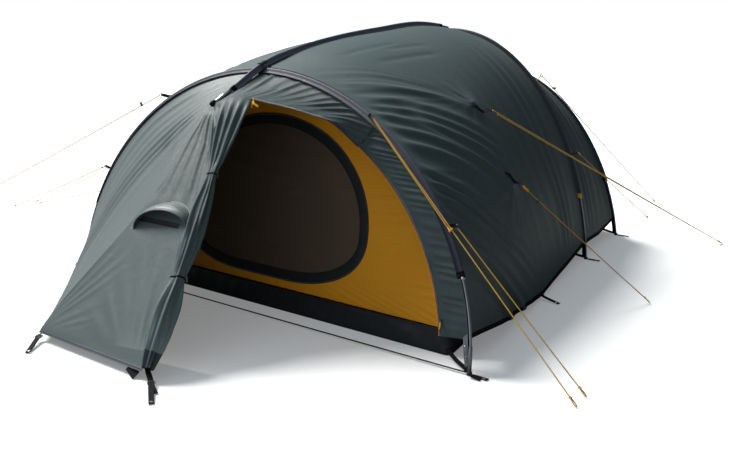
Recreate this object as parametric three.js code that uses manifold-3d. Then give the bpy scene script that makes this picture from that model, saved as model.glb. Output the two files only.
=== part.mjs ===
// A ridge-poled dome tent, pitched: three hoops, a ridge pole out to the vestibule peak, a flysheet on
// outside sleeves, a hung inner tent with a bathtub floor, straps and taut guy lines.
// Millimetres, +Z up. The door end faces -Y, the foot end +Y, and the ground is z = 0.
import * as THREE from "three";
import { mergeVertices } from "three/addons/utils/BufferGeometryUtils.js";
import Module from "manifold-3d";

const wasm = await Module();
wasm.setup();

// ---- driving dimensions -------------------------------------------------------------------------

// A hoop's feet stand at y, half its width either side; its top is lean further back than its feet.
// bulge is the superellipse power of its outline: 2 is an ellipse, more is squarer.
const FRONT = { y: 0, half: 1205, high: 1056, lean: 166, bulge: 1.95 };
const REAR = { y: 1787, half: 797, high: 1214, lean: -173, bulge: 2.09 };
const END = { y: 2422, half: 685, high: 986, lean: -274, bulge: 2.01 };

const MID_Y = 900; // the pitched tent's middle, straps included, lies this far behind the front feet
const POLE_R = 5.5;
const SLEEVE_R = 9.5;
const SLEEVE_BORE = 7.8;
const SLEEVE_END_Z = 345; // the poles are bare below this height
const SKIN_INSET = 13; // from a pole's centreline in to the flysheet's outer face
const FLY_START = 14; // the flysheet body starts this far behind the front hoop, the vestibule before it
const CLOTH = 4; // thickness of a cloth shell
const GAP = 0.5; // clearance between neighbours that touch

// The flysheet's top line over the ridge, as y and z.
const FLY_RIDGE = [
  [180, 1066], [400, 1130], [640, 1172], [960, 1209], [1330, 1237], [1480, 1228], [1614, 1201],
];
const PEAK = { y: -127, z: 928 }; // the ridge pole's front end
const SLEEVE_FRONT = { y: -25, z: 977 }; // where the ridge sleeve starts
const RIDGE_OVER_FRONT = 23; // the ridge pole crosses the front hoop this far above its centreline
const RIDGE_END_Y = 1588;

// The hem's height above the ground along a side: 0 is the front hoop, 1 the rear hoop, 2 the end hoop.
const HEM = [[0, 125], [0.25, 58], [0.55, 20], [0.8, 52], [1, 80], [1.5, 68], [2, 95]];
const TAIL = 125; // how far the rear hem is pegged out behind the end hoop's feet at its middle
const TAIL_START = 45;
const TAIL_HEM_Z = 25;
const TAIL_BULGE = 20;

const VEST = { half: 360, y: -780, hem: 32 }; // the vestibule's front hem corners
const VEST_TOP_RIGHT = { x: 92, y: -118, z: 935 }; // the roof strip's corner beside the peak
// The crease between side and front panels bows in from a straight line: x at heights.
const CREASE = [[-360, 32], [-345, 85], [-215, 330], [-95, 551], [-22, 840], [-12, 905]];
const FRONT_PANEL_RIGHT = 275; // the front panel's lower right corner
const SEAM_SPACE = 9; // room kept between the vestibule's panels at the crease

const STRIP = { inner: 0.885, outer: 0.984 }; // the fixed edge beside the doorway, as parts of the hoop
const INNER_SIDE = 135; // from the hoops in to the inner tent, sideways
const INNER_TOP = 70; // and at its top
const WALL_BACK = 112; // the inner tent's front wall stands this far behind the front hoop
const TUB_HIGH = 100;
const TUB_WALL = 3;
const TUB_REAR_Y = 2330;
const DOOR = { half: 581, sill: 143, wide: 392, top: 853 };
const DOOR_BAND = 38;
const PLATE = 3; // thickness of flat cloth panels

const CORD_R = 1.5;
const BASE_CORD_R = 2;
const WEB = { wide: 20, thick: 2.5, slotHalf: 5, slotLong: 16, endMargin: 9 };
const FOOT = { outer: 10.5, bore: 8.2, high: 12, floor: 3 };
const POLE_BOTTOM = 5;

// ---- small helpers ------------------------------------------------------------------------------

const v3 = (x, y, z) => new THREE.Vector3(x, y, z);
const lerp = THREE.MathUtils.lerp;

const cloth = (color) => new THREE.MeshStandardMaterial({ color, roughness: 0.85, metalness: 0 });
const MATERIALS = {
  fly: cloth(0x3f4c48),
  sleeve: cloth(0x4b4a58),
  inner: cloth(0xc8821e),
  mesh: cloth(0x33261a),
  tub: cloth(0x15171a),
  webbing: cloth(0x101113),
  cord: cloth(0xd7a028),
  pole: new THREE.MeshStandardMaterial({ color: 0xb9bcc0, roughness: 0.3, metalness: 1 }),
  hardware: new THREE.MeshStandardMaterial({ color: 0x2a2b2e, roughness: 0.5, metalness: 0.1 }),
};

const tent = new THREE.Group();
tent.name = "tent";
tent.position.y = -MID_Y;

function add(name, geometry, material, parent = tent) {
  const mesh = new THREE.Mesh(geometry, MATERIALS[material]);
  mesh.name = name;
  parent.add(mesh);
  return mesh;
}

// A cubic curve through [position, value] pairs.
function table(pairs) {
  const curve = new THREE.CubicInterpolant(pairs.map((p) => p[0]), pairs.map((p) => p[1]), 1);
  return (at) => curve.evaluate(at)[0];
}

// Straight lines through [position, value] pairs.
function ramp(pairs) {
  const line = new THREE.LinearInterpolant(pairs.map((p) => p[0]), pairs.map((p) => p[1]), 1);
  return (at) => line.evaluate(at)[0];
}

// One stretch of a longer curve, by its share of the arc length.
class Stretch extends THREE.Curve {
  constructor(whole, from, to) {
    super();
    Object.assign(this, { whole, from, to });
  }
  getPoint(t) {
    return this.whole.getPointAt(lerp(this.from, this.to, t));
  }
}

function disc(radius, bore = 0) {
  const shape = new THREE.Shape().absarc(0, 0, radius, 0, 2 * Math.PI);
  if (bore) shape.holes.push(new THREE.Path().absarc(0, 0, bore, 0, 2 * Math.PI, true));
  return shape;
}

// A round section gets twice arcSegments sides.
function sweep(shape, path, steps, arcSegments = 4) {
  return new THREE.ExtrudeGeometry(shape, { steps, extrudePath: path, curveSegments: arcSegments });
}

function plate(shape, depth, curveSegments = 12) {
  return new THREE.ExtrudeGeometry(shape, { depth, bevelEnabled: false, curveSegments });
}

function toSolid(geometry) {
  const plain = geometry.clone();
  plain.deleteAttribute("normal");
  plain.deleteAttribute("uv");
  const merged = mergeVertices(plain, 1e-4);
  return new wasm.Manifold(new wasm.Mesh({
    numProp: 3,
    vertProperties: merged.attributes.position.array,
    triVerts: new Uint32Array(merged.index.array),
  }));
}

function toGeometry(solid) {
  const mesh = solid.getMesh();
  return new THREE.BufferGeometry()
    .setAttribute("position", new THREE.BufferAttribute(mesh.vertProperties, 3))
    .setIndex(new THREE.BufferAttribute(mesh.triVerts, 1));
}

// A closed shell between two matching grids of points, rows by columns.
function shell(outer, inner) {
  const rows = outer.length;
  const cols = outer[0].length;
  const position = [...outer, ...inner].flat().flatMap((p) => [p.x, p.y, p.z]);
  const at = (side, i, j) => (side * rows + i) * cols + j;
  const index = [];
  const quad = (a, b, c, d) => index.push(a, b, c, a, c, d);
  for (let i = 0; i < rows - 1; i++) {
    for (let j = 0; j < cols - 1; j++) {
      quad(at(0, i, j), at(0, i + 1, j), at(0, i + 1, j + 1), at(0, i, j + 1));
      quad(at(1, i, j), at(1, i, j + 1), at(1, i + 1, j + 1), at(1, i + 1, j));
    }
  }
  const j1 = cols - 1;
  for (let i = 0; i < rows - 1; i++) {
    quad(at(0, i, 0), at(1, i, 0), at(1, i + 1, 0), at(0, i + 1, 0));
    quad(at(0, i + 1, j1), at(1, i + 1, j1), at(1, i, j1), at(0, i, j1));
  }
  const i1 = rows - 1;
  for (let j = 0; j < j1; j++) {
    quad(at(0, 0, j + 1), at(1, 0, j + 1), at(1, 0, j), at(0, 0, j));
    quad(at(0, i1, j), at(1, i1, j), at(1, i1, j + 1), at(0, i1, j + 1));
  }
  return new THREE.BufferGeometry()
    .setAttribute("position", new THREE.Float32BufferAttribute(position, 3))
    .setIndex(index);
}

// The same grid moved along its own normals by a distance.
function moved(grid, distance) {
  const rows = grid.length - 1;
  const cols = grid[0].length - 1;
  return grid.map((row, i) => row.map((p, j) => {
    const down = grid[Math.min(i + 1, rows)][j].clone().sub(grid[Math.max(i - 1, 0)][j]);
    const along = row[Math.min(j + 1, cols)].clone().sub(row[Math.max(j - 1, 0)]);
    return p.clone().addScaledVector(down.cross(along).normalize(), distance);
  }));
}

// A cloth shell whose outer face is the grid; the faces of the grid must look outwards.
const clothShell = (grid) => shell(grid, moved(grid, -CLOTH));

const range = (count) => Array.from({ length: count + 1 }, (_, k) => k / count);

// ---- hoops and the flysheet's surface -----------------------------------------------------------

const ridgeTop = table(FLY_RIDGE);
const hemHeight = ramp(HEM);

// A point of a hoop's outline: angle 0 is its right foot and PI its left one.
function onHoop(hoop, angle, sideways = 0, below = 0) {
  const power = 2 / hoop.bulge;
  const c = Math.cos(angle);
  const z = (hoop.high - below) * Math.abs(Math.sin(angle)) ** power;
  const x = (hoop.half - sideways) * Math.sign(c) * Math.abs(c) ** power;
  return v3(x, hoop.y + (hoop.lean * z) / hoop.high, z);
}

// The angle at which a hoop's outline is at a height.
function angleAt(hoop, z, below = 0) {
  return Math.asin((z / (hoop.high - below)) ** (hoop.bulge / 2));
}

// The hoop-like section of the tent at a station: 0 front hoop, 1 rear hoop, 2 end hoop.
function section(station) {
  const [a, b, t] = station <= 1 ? [FRONT, REAR, station] : [REAR, END, station - 1];
  const mix = (key) => lerp(a[key], b[key], t);
  const s = { y: mix("y"), half: mix("half"), high: mix("high"), lean: mix("lean"), bulge: mix("bulge") };
  if (station <= 1) {
    s.y += FLY_START * (1 - station);
    s.high = ridgeTop(THREE.MathUtils.clamp(s.y + s.lean, 180, 1614)) + SKIN_INSET;
  }
  return s;
}

// A row of points across the tent at a station, from the right hem over the top to the left hem.
function rowAt(station, columns, sideways, below, hemZ) {
  const s = section(station);
  const low = angleAt(s, hemZ, below);
  return range(columns).map((t) => onHoop(s, lerp(low, Math.PI - low, t), sideways, below));
}

// The rows of the end panel, from the last hoop's row down to a hem on the ground side behind it.
function endPanel(top, steps, tail, start, hemZ, sideHemZ) {
  const half = Math.abs(top[0].x);
  const base = top[0].y;
  return range(steps).slice(1).map((v) => top.map((p) => {
    const share = p.x / half;
    const middle = 1 - share * share;
    const hem = v3(p.x * 0.985, base + start + tail * middle, lerp(sideHemZ, hemZ, middle));
    const out = p.clone().lerp(hem, v);
    out.y += TAIL_BULGE * Math.sin(Math.PI * v) * middle;
    return out;
  }));
}

const FLY_COLUMNS = 26;
const FLY_STATIONS = [0, 0.14, 0.28, 0.42, 0.55, 0.7, 0.85, 1, 1.33, 1.67, 2];
const flyRows = FLY_STATIONS.map((s) => rowAt(s, FLY_COLUMNS, SKIN_INSET, SKIN_INSET, hemHeight(s)));
flyRows.push(...endPanel(flyRows.at(-1), 4, TAIL, TAIL_START, TAIL_HEM_Z, hemHeight(2)));
add("flysheet_body", clothShell(flyRows), "fly");

// ---- poles, sleeves and feet --------------------------------------------------------------------

class Hoop extends THREE.Curve {
  constructor(hoop, low) {
    super();
    Object.assign(this, { hoop, low });
  }
  getPoint(t) {
    return onHoop(this.hoop, lerp(this.low, Math.PI - this.low, t));
  }
}

for (const [name, hoop] of [["front", FRONT], ["rear", REAR], ["end", END]]) {
  const pole = new Hoop(hoop, angleAt(hoop, POLE_BOTTOM));
  const sleeve = new Hoop(hoop, angleAt(hoop, SLEEVE_END_Z));
  add(name + "_hoop_pole", sweep(disc(POLE_R), pole, 44), "pole");
  add(name + "_hoop_sleeve", sweep(disc(SLEEVE_R, SLEEVE_BORE), sleeve, 34), "sleeve");
}

const ridgeYs = [400, 640, 960, 1330, 1480, RIDGE_END_Y];
const ridgeLine = new THREE.CatmullRomCurve3([
  v3(0, PEAK.y, PEAK.z),
  v3(0, SLEEVE_FRONT.y, SLEEVE_FRONT.z),
  v3(0, FRONT.lean, FRONT.high + RIDGE_OVER_FRONT),
  ...ridgeYs.map((y) => v3(0, y, ridgeTop(y) + SKIN_INSET + (y === RIDGE_END_Y ? 8 : 0))),
]);
add("ridge_pole", sweep(disc(POLE_R), ridgeLine, 24), "pole");
add("ridge_sleeve", sweep(disc(SLEEVE_R, SLEEVE_BORE), new Stretch(ridgeLine, 0.065, 0.965), 22), "sleeve");

// The pocket that holds the ridge pole's front end: a cup that opens towards the pole.
const pocketProfile = [
  [0, 0], [11, 0], [11, 38], [7.2, 38], [7.2, 6], [0, 6],
].map(([r, h]) => new THREE.Vector2(r, h));
const ridgeStart = ridgeLine.getTangentAt(0);
const pocket = add("peak_pocket", new THREE.LatheGeometry(pocketProfile, 12), "webbing");
pocket.quaternion.setFromUnitVectors(v3(0, 1, 0), ridgeStart);
pocket.position.copy(v3(0, PEAK.y, PEAK.z).addScaledVector(ridgeStart, -7));

const footProfile = [
  [0, 0], [FOOT.outer, 0], [FOOT.outer, FOOT.high], [FOOT.bore, FOOT.high], [FOOT.bore, FOOT.floor],
  [0, FOOT.floor],
].map(([r, h]) => new THREE.Vector2(r, h));

// Webbing from one point to another, flat, with the peg's slot at its far end.
function strap(name, from, to) {
  const long = from.distanceTo(to);
  const half = WEB.wide / 2;
  const outline = new THREE.Shape([
    new THREE.Vector2(0, -half), new THREE.Vector2(long, -half),
    new THREE.Vector2(long, half), new THREE.Vector2(0, half),
  ]);
  const slotEnd = long - WEB.endMargin;
  const slotStart = slotEnd - WEB.slotLong;
  outline.holes.push(new THREE.Path([
    new THREE.Vector2(slotStart, -WEB.slotHalf), new THREE.Vector2(slotStart, WEB.slotHalf),
    new THREE.Vector2(slotEnd, WEB.slotHalf), new THREE.Vector2(slotEnd, -WEB.slotHalf),
  ]));
  const geometry = plate(outline, WEB.thick);
  const flat = Math.hypot(to.x - from.x, to.y - from.y);
  const mesh = add(name, geometry, "webbing");
  mesh.rotation.set(0, Math.atan2(from.z - to.z, flat), Math.atan2(to.y - from.y, to.x - from.x), "ZYX");
  mesh.position.copy(from);
  return mesh;
}

const STRAP_START = FOOT.outer + GAP;
const FOOT_STRAP = 80;
for (const [side, sign] of [["right", 1], ["left", -1]]) {
  for (const [name, hoop] of [["front", FRONT], ["rear", REAR], ["end", END]]) {
    const foot = add(`${name}_${side}_pole_foot`, new THREE.LatheGeometry(footProfile, 12), "hardware");
    foot.rotation.x = Math.PI / 2;
    foot.position.set(sign * hoop.half, hoop.y + (hoop.lean / hoop.high) * 0.7 * FOOT.high, 0);
    strap(`${name}_${side}_foot_strap`,
      v3(sign * (hoop.half + STRAP_START), hoop.y, GAP), v3(sign * (hoop.half + FOOT_STRAP), hoop.y, GAP));
  }
  // The side hem's own strap, half way between the front and rear hoops.
  const hem = rowAt(0.55, 2, SKIN_INSET, SKIN_INSET, hemHeight(0.55))[0];
  strap(`mid_${side}_hem_strap`, v3(sign * (hem.x + 4), hem.y, 14), v3(sign * (hem.x + 95), hem.y - 20, GAP));
}
const REAR_STRAP_END = 2 * MID_Y + 902;
const hemMiddle = flyRows.at(-1)[FLY_COLUMNS / 2];
strap("rear_hem_strap", v3(0, hemMiddle.y + 4, 18), v3(0, REAR_STRAP_END, GAP));
strap("vestibule_left_strap", v3(-352, VEST.y - 12, 22), v3(-256, -895, GAP));
strap("vestibule_right_strap", v3(372, VEST.y - 14, 18), v3(512, -893, GAP));

const baseCordEnds = FRONT.half - FOOT.outer - GAP;
add("door_base_cord",
  sweep(disc(BASE_CORD_R), new THREE.LineCurve3(v3(-baseCordEnds, 0, 8), v3(baseCordEnds, 0, 8)), 1), "webbing");

// ---- panels in a leaning plane ------------------------------------------------------------------

// A group whose X is the tent's X, whose Y runs up a plane leaning back by run over rise, and whose Z
// looks out of it to the front. Its origin is on the ground at the given y.
function leaningPlane(y, run, rise) {
  const group = new THREE.Group();
  group.rotation.x = Math.PI / 2 - Math.atan2(run, rise);
  group.position.y = y;
  tent.add(group);
  return { group, slope: Math.hypot(run, rise) / rise };
}

const hoopPlane = leaningPlane(0, FRONT.lean, FRONT.high);

// The flysheet's fixed edge at the right of the doorway, in the front hoop's plane.
const edgeLow = angleAt(FRONT, 128);
const edgeHigh = 1.43;
const arcPoint = (share, angle) => {
  const p = onHoop(FRONT, angle);
  return new THREE.Vector2(p.x * share, p.z * share * hoopPlane.slope);
};
const edgeOutline = [
  ...range(16).map((t) => arcPoint(STRIP.outer, lerp(edgeLow, edgeHigh, t))),
  ...range(16).map((t) => arcPoint(STRIP.inner, lerp(edgeHigh, edgeLow, t))),
];
add("doorway_edge_panel", plate(new THREE.Shape(edgeOutline), PLATE), "fly", hoopPlane.group).position.z = -PLATE / 2;

// The fly door's zip slider, on the straight lower stretch of the doorway's edge.
const zipAngle = angleAt(FRONT, 190);
const zipPoint = arcPoint(STRIP.inner + 0.012, zipAngle);
const flySlider = add("fly_zip_slider", new THREE.BoxGeometry(10, 26, 5), "hardware", hoopPlane.group);
flySlider.position.set(zipPoint.x, zipPoint.y, PLATE / 2 + GAP + 2.5);

// The inner tent's front wall, with the doorway's outline cut out of it.
const wallPlane = leaningPlane(WALL_BACK, FRONT.lean, FRONT.high);
const slope = wallPlane.slope;

function doorOutline(grow) {
  const side = DOOR.half + grow;
  const sill = DOOR.sill * slope - grow;
  const wide = DOOR.wide * slope;
  const top = DOOR.top * slope + grow;
  const quarter = (cx, ry, from, to, power) => range(9).map((t) => {
    const a = lerp(from, to, t);
    const c = Math.cos(a);
    const s = Math.sin(a);
    const e = 2 / power;
    return new THREE.Vector2(
      cx + (side - cx) * Math.sign(c) * Math.abs(c) ** e, wide + ry * Math.sign(s) * Math.abs(s) ** e);
  });
  const right = [
    ...quarter(120, wide - sill, -Math.PI / 2, 0, 2.3).slice(0, -1),
    ...quarter(0, top - wide, 0, Math.PI / 2, 2.05),
  ];
  const left = right.slice(0, -1).reverse().map((p) => new THREE.Vector2(-p.x, p.y));
  return [...right, ...left];
}

const wallHoop = { ...FRONT, half: FRONT.half - INNER_SIDE, high: FRONT.high - INNER_TOP };
const WALL_INSET = 6; // clear of the inner tent's shell
const wallLow = angleAt(wallHoop, TUB_HIGH + 2);
const wallOutline = range(28).map((t) => {
  const p = onHoop(wallHoop, lerp(wallLow, Math.PI - wallLow, t), WALL_INSET, WALL_INSET);
  return new THREE.Vector2(p.x, p.z * slope);
});
const wallShape = new THREE.Shape(wallOutline);
wallShape.holes.push(new THREE.Path(doorOutline(1.5)));
add("inner_front_wall", plate(wallShape, PLATE), "inner", wallPlane.group);

const bandShape = new THREE.Shape(doorOutline(0));
bandShape.holes.push(new THREE.Path(doorOutline(-DOOR_BAND)));
add("inner_door_band", plate(bandShape, PLATE), "tub", wallPlane.group);
add("inner_door_mesh", plate(new THREE.Shape(doorOutline(-DOOR_BAND - GAP)), PLATE - 1), "mesh", wallPlane.group);

const innerSlider = add("inner_zip_slider", new THREE.BoxGeometry(26, 10, 5), "hardware", wallPlane.group);
innerSlider.position.set(95, DOOR.sill * slope - 2, PLATE + GAP + 2.5);

// ---- inner tent and tub -------------------------------------------------------------------------

const INNER_START = 0.074; // station of the inner tent's front edge, behind the front wall
const INNER_END = 1.86;
const innerStations = [INNER_START, 0.25, 0.45, 0.65, 0.82, 1, 1.45, INNER_END];
const INNER_FOOT = TUB_HIGH + 1;
const innerRows = innerStations.map((s) => rowAt(s, 22, INNER_SIDE, INNER_TOP + SKIN_INSET, INNER_FOOT));
innerRows.push(...endPanel(innerRows.at(-1), 3, 0, 50, INNER_FOOT, INNER_FOOT));
add("inner_tent_body", clothShell(innerRows), "inner");

function tubOutline(inset) {
  const at = (station) => rowAt(station, 2, INNER_SIDE + inset, 0, 8)[0].x;
  const right = [
    [at(0) - 22, WALL_BACK - 4 + inset], [at(0.5), section(0.5).y], [at(1), REAR.y],
    [at(1.8), TUB_REAR_Y - inset],
  ];
  const left = right.map(([x, y]) => [-x, y]).reverse();
  return new THREE.Shape([...right, ...left].map(([x, y]) => new THREE.Vector2(x, y)));
}
const tubInside = plate(tubOutline(TUB_WALL), TUB_HIGH).translate(0, 0, TUB_WALL);
add("groundsheet_tub", toGeometry(toSolid(plate(tubOutline(0), TUB_HIGH)).subtract(toSolid(tubInside))), "tub");

// ---- vestibule ----------------------------------------------------------------------------------

const panelRun = PEAK.y - VEST.y;
const panelRise = PEAK.z - VEST.hem;
const panelSlope = Math.hypot(panelRun, panelRise) / panelRise;
const panelY = (z) => VEST.y + ((z - VEST.hem) * panelRun) / panelRise;
const creaseX = table(CREASE.map(([x, z]) => [z, x]));
const panelPlane = leaningPlane(panelY(0), panelRun, panelRise);

// The side panel and the roof strip: straight threads from the front hoop to the crease and the peak.
const lowAngle = angleAt(FRONT, 62);
const leftThreads = range(12).map((t) => {
  const p = onHoop(FRONT, lerp(Math.PI - lowAngle, Math.PI / 2, t), SKIN_INSET, SKIN_INSET);
  const z = lerp(VEST.hem, PEAK.z - SKIN_INSET - 15, t ** 0.9);
  return [p, v3(creaseX(Math.min(z, 905)) - SEAM_SPACE * 0.5 * (1 - t), panelY(z) + SEAM_SPACE, z)];
});
const rightThreads = range(2).slice(1).map((t) => {
  const p = onHoop(FRONT, lerp(Math.PI / 2, edgeHigh + 0.01, t), SKIN_INSET, SKIN_INSET);
  const peak = leftThreads.at(-1)[1];
  return [p, peak.clone().lerp(v3(VEST_TOP_RIGHT.x, VEST_TOP_RIGHT.y + 6, VEST_TOP_RIGHT.z), t)];
});
const sideGrid = [...leftThreads, ...rightThreads].map(([a, b]) => {
  const start = a.clone().setY(a.y - FLY_START);
  return range(7).map((t) => start.clone().lerp(b, t));
});
add("vestibule_side_panel", clothShell(sideGrid), "fly");

const VENT = { left: -98, right: 150, low: 436, high: 496 };
function rectangle(left, low, right, high) {
  return [[left, low], [right, low], [right, high], [left, high]].map(([x, y]) => new THREE.Vector2(x, y));
}
const panelTop = 902;
const panelOutline = [
  new THREE.Vector2(FRONT_PANEL_RIGHT, VEST.hem * panelSlope),
  new THREE.Vector2(VEST_TOP_RIGHT.x - 12, panelTop * panelSlope),
  ...range(12).map((t) => {
    const z = lerp(panelTop, VEST.hem, t);
    return new THREE.Vector2(creaseX(z), z * panelSlope);
  }),
];
const panelShape = new THREE.Shape(panelOutline);
panelShape.holes.push(new THREE.Path(
  rectangle(VENT.left, VENT.low * panelSlope, VENT.right, VENT.high * panelSlope)));
add("vestibule_front_panel", plate(panelShape, PLATE), "fly", panelPlane.group);
add("vent_mesh", plate(new THREE.Shape(rectangle(VENT.left + GAP, VENT.low * panelSlope + GAP,
  VENT.right - GAP, VENT.high * panelSlope - GAP)), PLATE - 1), "mesh", panelPlane.group);

// The vent's hood: a stiffened brim, hinged along its upper edge, held out over the mesh.
const HOOD = { half: 148, deep: 92, hingeZ: 532, middle: 26, open: 0.62 };
const hoodOutline = new THREE.Shape([
  ...range(2).map((t) => new THREE.Vector2(lerp(HOOD.half, -HOOD.half, t), 0)),
  ...range(12).map((t) => new THREE.Vector2(
    -HOOD.half * Math.cos(Math.PI * t), -14 - (HOOD.deep - 14) * Math.sin(Math.PI * t) ** 0.7)).slice(1, -1),
]);
const hoodHinge = new THREE.Group();
hoodHinge.position.set(HOOD.middle, HOOD.hingeZ * panelSlope, PLATE + GAP + 1);
hoodHinge.rotation.x = -HOOD.open;
panelPlane.group.add(hoodHinge);
add("vent_hood", plate(hoodOutline, PLATE), "fly", hoodHinge).position.y = -2;

// The door, gathered to the right of the front panel and tied twice.
const ROLL_TOP = v3(118, -112, 915);
const ROLL_BOTTOM = v3(336, -770, 46);
const rollRadii = [[0, 24], [0.12, 24], [0.28, 21], [0.5, 36], [0.68, 34], [0.84, 42], [1, 47]];
const rollLong = ROLL_TOP.distanceTo(ROLL_BOTTOM);
const rollProfile = [
  new THREE.Vector2(0, 0),
  ...rollRadii.map(([share, radius]) => new THREE.Vector2(radius, share * rollLong)),
  new THREE.Vector2(0, rollLong),
];
const rollGroup = new THREE.Group();
rollGroup.position.copy(ROLL_TOP);
rollGroup.quaternion.setFromUnitVectors(v3(0, 1, 0), ROLL_BOTTOM.clone().sub(ROLL_TOP).normalize());
tent.add(rollGroup);
add("rolled_door", new THREE.LatheGeometry(rollProfile, 12), "fly", rollGroup);
for (const [name, share, radius] of [["upper", 0.28, 29], ["lower", 0.68, 41]]) {
  const tie = add(`door_tie_${name}`, new THREE.TorusGeometry(radius, 3, 6, 18), "webbing", rollGroup);
  tie.rotation.x = Math.PI / 2;
  tie.position.y = share * rollLong;
}

// ---- guy lines ----------------------------------------------------------------------------------

// Each line runs straight from a ring on the tent to its pegged end on the ground.
const PEG_Z = 4;
const GUYS = {
  front_right_upper: [v3(668, 104, 898), v3(1642, -14, PEG_Z)],
  front_right_lower: [v3(1094, 72, 524), v3(1629, 84, PEG_Z)],
  mid_right_upper_a: [v3(740, 872, 872), v3(1252, 2604, PEG_Z)],
  mid_right_upper_b: [v3(757, 886, 852), v3(1258, 2598, PEG_Z)],
  mid_right_lower: [v3(936, 812, 560), v3(1379, 1247, PEG_Z)],
  rear_right_upper: [v3(556, 1652, 984), v3(475, 3545, PEG_Z)],
  rear_right_lower: [v3(756, 1708, 590), v3(648, 2999, PEG_Z)],
  front_left_upper: [v3(-684, 138, 912), v3(-3000, 100, PEG_Z)],
  front_left_lower: [v3(-1106, 92, 530), v3(-2950, 600, PEG_Z)],
  mid_left_upper: [v3(-750, 880, 862), v3(-2960, 760, PEG_Z)],
  mid_left_lower: [v3(-936, 960, 480), v3(-2900, 745, PEG_Z)],
};
for (const [name, [from, to]] of Object.entries(GUYS)) {
  add(`guy_${name}`, sweep(disc(CORD_R), new THREE.LineCurve3(from, to), 2), "cord");
}

// A slider on a line: a flat bar with one hole for the line and one for its returning end.
const BAR = { wide: 11, long: 26, thick: 5, hole: 2.6, pitch: 12 };
function sliderShape() {
  const r = BAR.wide / 2;
  const reach = BAR.pitch;
  const shape = new THREE.Shape();
  shape.absarc(0, 0, r, Math.PI / 2, 1.5 * Math.PI);
  shape.absarc(reach, 0, r, -Math.PI / 2, Math.PI / 2);
  for (const x of [0, reach]) {
    shape.holes.push(new THREE.Path().absarc(x, 0, BAR.hole, 0, 2 * Math.PI, true));
  }
  return shape;
}
for (const [guy, share] of [
  ["front_right_upper", 0.42], ["mid_right_lower", 0.12], ["rear_right_upper", 0.075], ["front_left_upper", 0.06],
]) {
  const [from, to] = GUYS[guy];
  const bar = add(`guy_slider_${guy}`, plate(sliderShape(), BAR.thick, 6), "hardware");
  bar.quaternion.setFromUnitVectors(v3(0, 0, 1), to.clone().sub(from).normalize());
  bar.position.copy(from.clone().lerp(to, share));
}

// The returning strand of the front right upper line, from the ring to its slider's second hole.
const [guyRing, guyPeg] = GUYS.front_right_upper;
const guyWay = guyPeg.clone().sub(guyRing).normalize();
const turn = new THREE.Quaternion().setFromUnitVectors(v3(0, 0, 1), guyWay);
const aside = v3(1, 0, 0).applyQuaternion(turn);
const sliderAt = guyRing.clone().lerp(guyPeg, 0.42);
add("guy_front_right_return", sweep(disc(CORD_R), new THREE.LineCurve3(
  guyRing.clone().addScaledVector(aside, 4.5).addScaledVector(guyWay, 6),
  sliderAt.clone().addScaledVector(aside, BAR.pitch).addScaledVector(guyWay, -GAP)), 2), "cord");

export default tent;
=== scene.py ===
"""A pitched three-hoop tent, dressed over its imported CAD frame: cloth, sleeves, webbing, zips and guy lines."""

import math

import bmesh
import bpy
import numpy as np
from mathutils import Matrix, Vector


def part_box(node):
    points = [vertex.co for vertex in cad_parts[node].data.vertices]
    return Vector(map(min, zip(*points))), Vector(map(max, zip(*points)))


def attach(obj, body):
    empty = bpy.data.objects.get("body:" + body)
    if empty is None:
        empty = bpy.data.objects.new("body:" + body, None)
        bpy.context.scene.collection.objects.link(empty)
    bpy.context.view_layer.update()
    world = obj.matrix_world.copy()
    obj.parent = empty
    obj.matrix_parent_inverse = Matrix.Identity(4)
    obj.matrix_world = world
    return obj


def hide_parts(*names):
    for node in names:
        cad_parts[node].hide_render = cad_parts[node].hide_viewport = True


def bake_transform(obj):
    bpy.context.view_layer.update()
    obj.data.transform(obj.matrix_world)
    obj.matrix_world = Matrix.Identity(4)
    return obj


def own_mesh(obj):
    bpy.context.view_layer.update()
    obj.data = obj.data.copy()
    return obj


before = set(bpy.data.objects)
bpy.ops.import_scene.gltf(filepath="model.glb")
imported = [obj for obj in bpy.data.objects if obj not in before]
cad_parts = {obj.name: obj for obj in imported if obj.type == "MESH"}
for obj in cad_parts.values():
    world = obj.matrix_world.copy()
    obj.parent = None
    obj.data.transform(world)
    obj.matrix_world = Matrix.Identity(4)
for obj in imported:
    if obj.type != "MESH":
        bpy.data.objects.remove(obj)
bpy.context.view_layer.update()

MM = 0.001
UP = np.array([0.0, 0.0, 1.0])


# ---- camera, light and floor --------------------------------------------------------------------

def camera():
    data = bpy.data.cameras.new("camera")
    data.lens = 43.2
    data.sensor_width = 36
    data.clip_end = 200
    obj = bpy.data.objects.new("camera", data)
    bpy.context.scene.collection.objects.link(obj)
    obj.location = (2.874, -3.521, 1.265)
    obj.rotation_euler = (math.radians(90 - 13.11), 0, math.radians(38.85))
    bpy.context.scene.camera = obj


# ---- numbers shared with the CAD part, in metres in the row frame ---------------------------------

FRONT = {"y": -0.900, "half": 1.205, "high": 1.056, "lean": 0.166, "bulge": 1.95}
REAR = {"y": 0.887, "half": 0.797, "high": 1.214, "lean": -0.173, "bulge": 2.09}
END = {"y": 1.522, "half": 0.685, "high": 0.986, "lean": -0.274, "bulge": 2.01}
SKIN_INSET = 0.013
FLY_START = 0.014
FLY_RIDGE = [(-0.72, 1.066), (-0.5, 1.130), (-0.26, 1.172), (0.06, 1.209), (0.43, 1.237), (0.58, 1.228),
    (0.714, 1.201)]
HEM = [(0, 0.125), (0.25, 0.058), (0.55, 0.020), (0.8, 0.052), (1, 0.080), (1.5, 0.068), (2, 0.095)]
PEAK = np.array([0, -1.027, 0.928])
SLEEVE_END_Z = 0.345
WALL_Y = -0.788
WALL_LEAN = math.atan2(0.166, 1.056)
DOOR = {"half": 0.581, "sill": 0.143, "wide": 0.392, "top": 0.853}
VEST = {"half": 0.360, "y": -1.680, "hem": 0.032}
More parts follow.
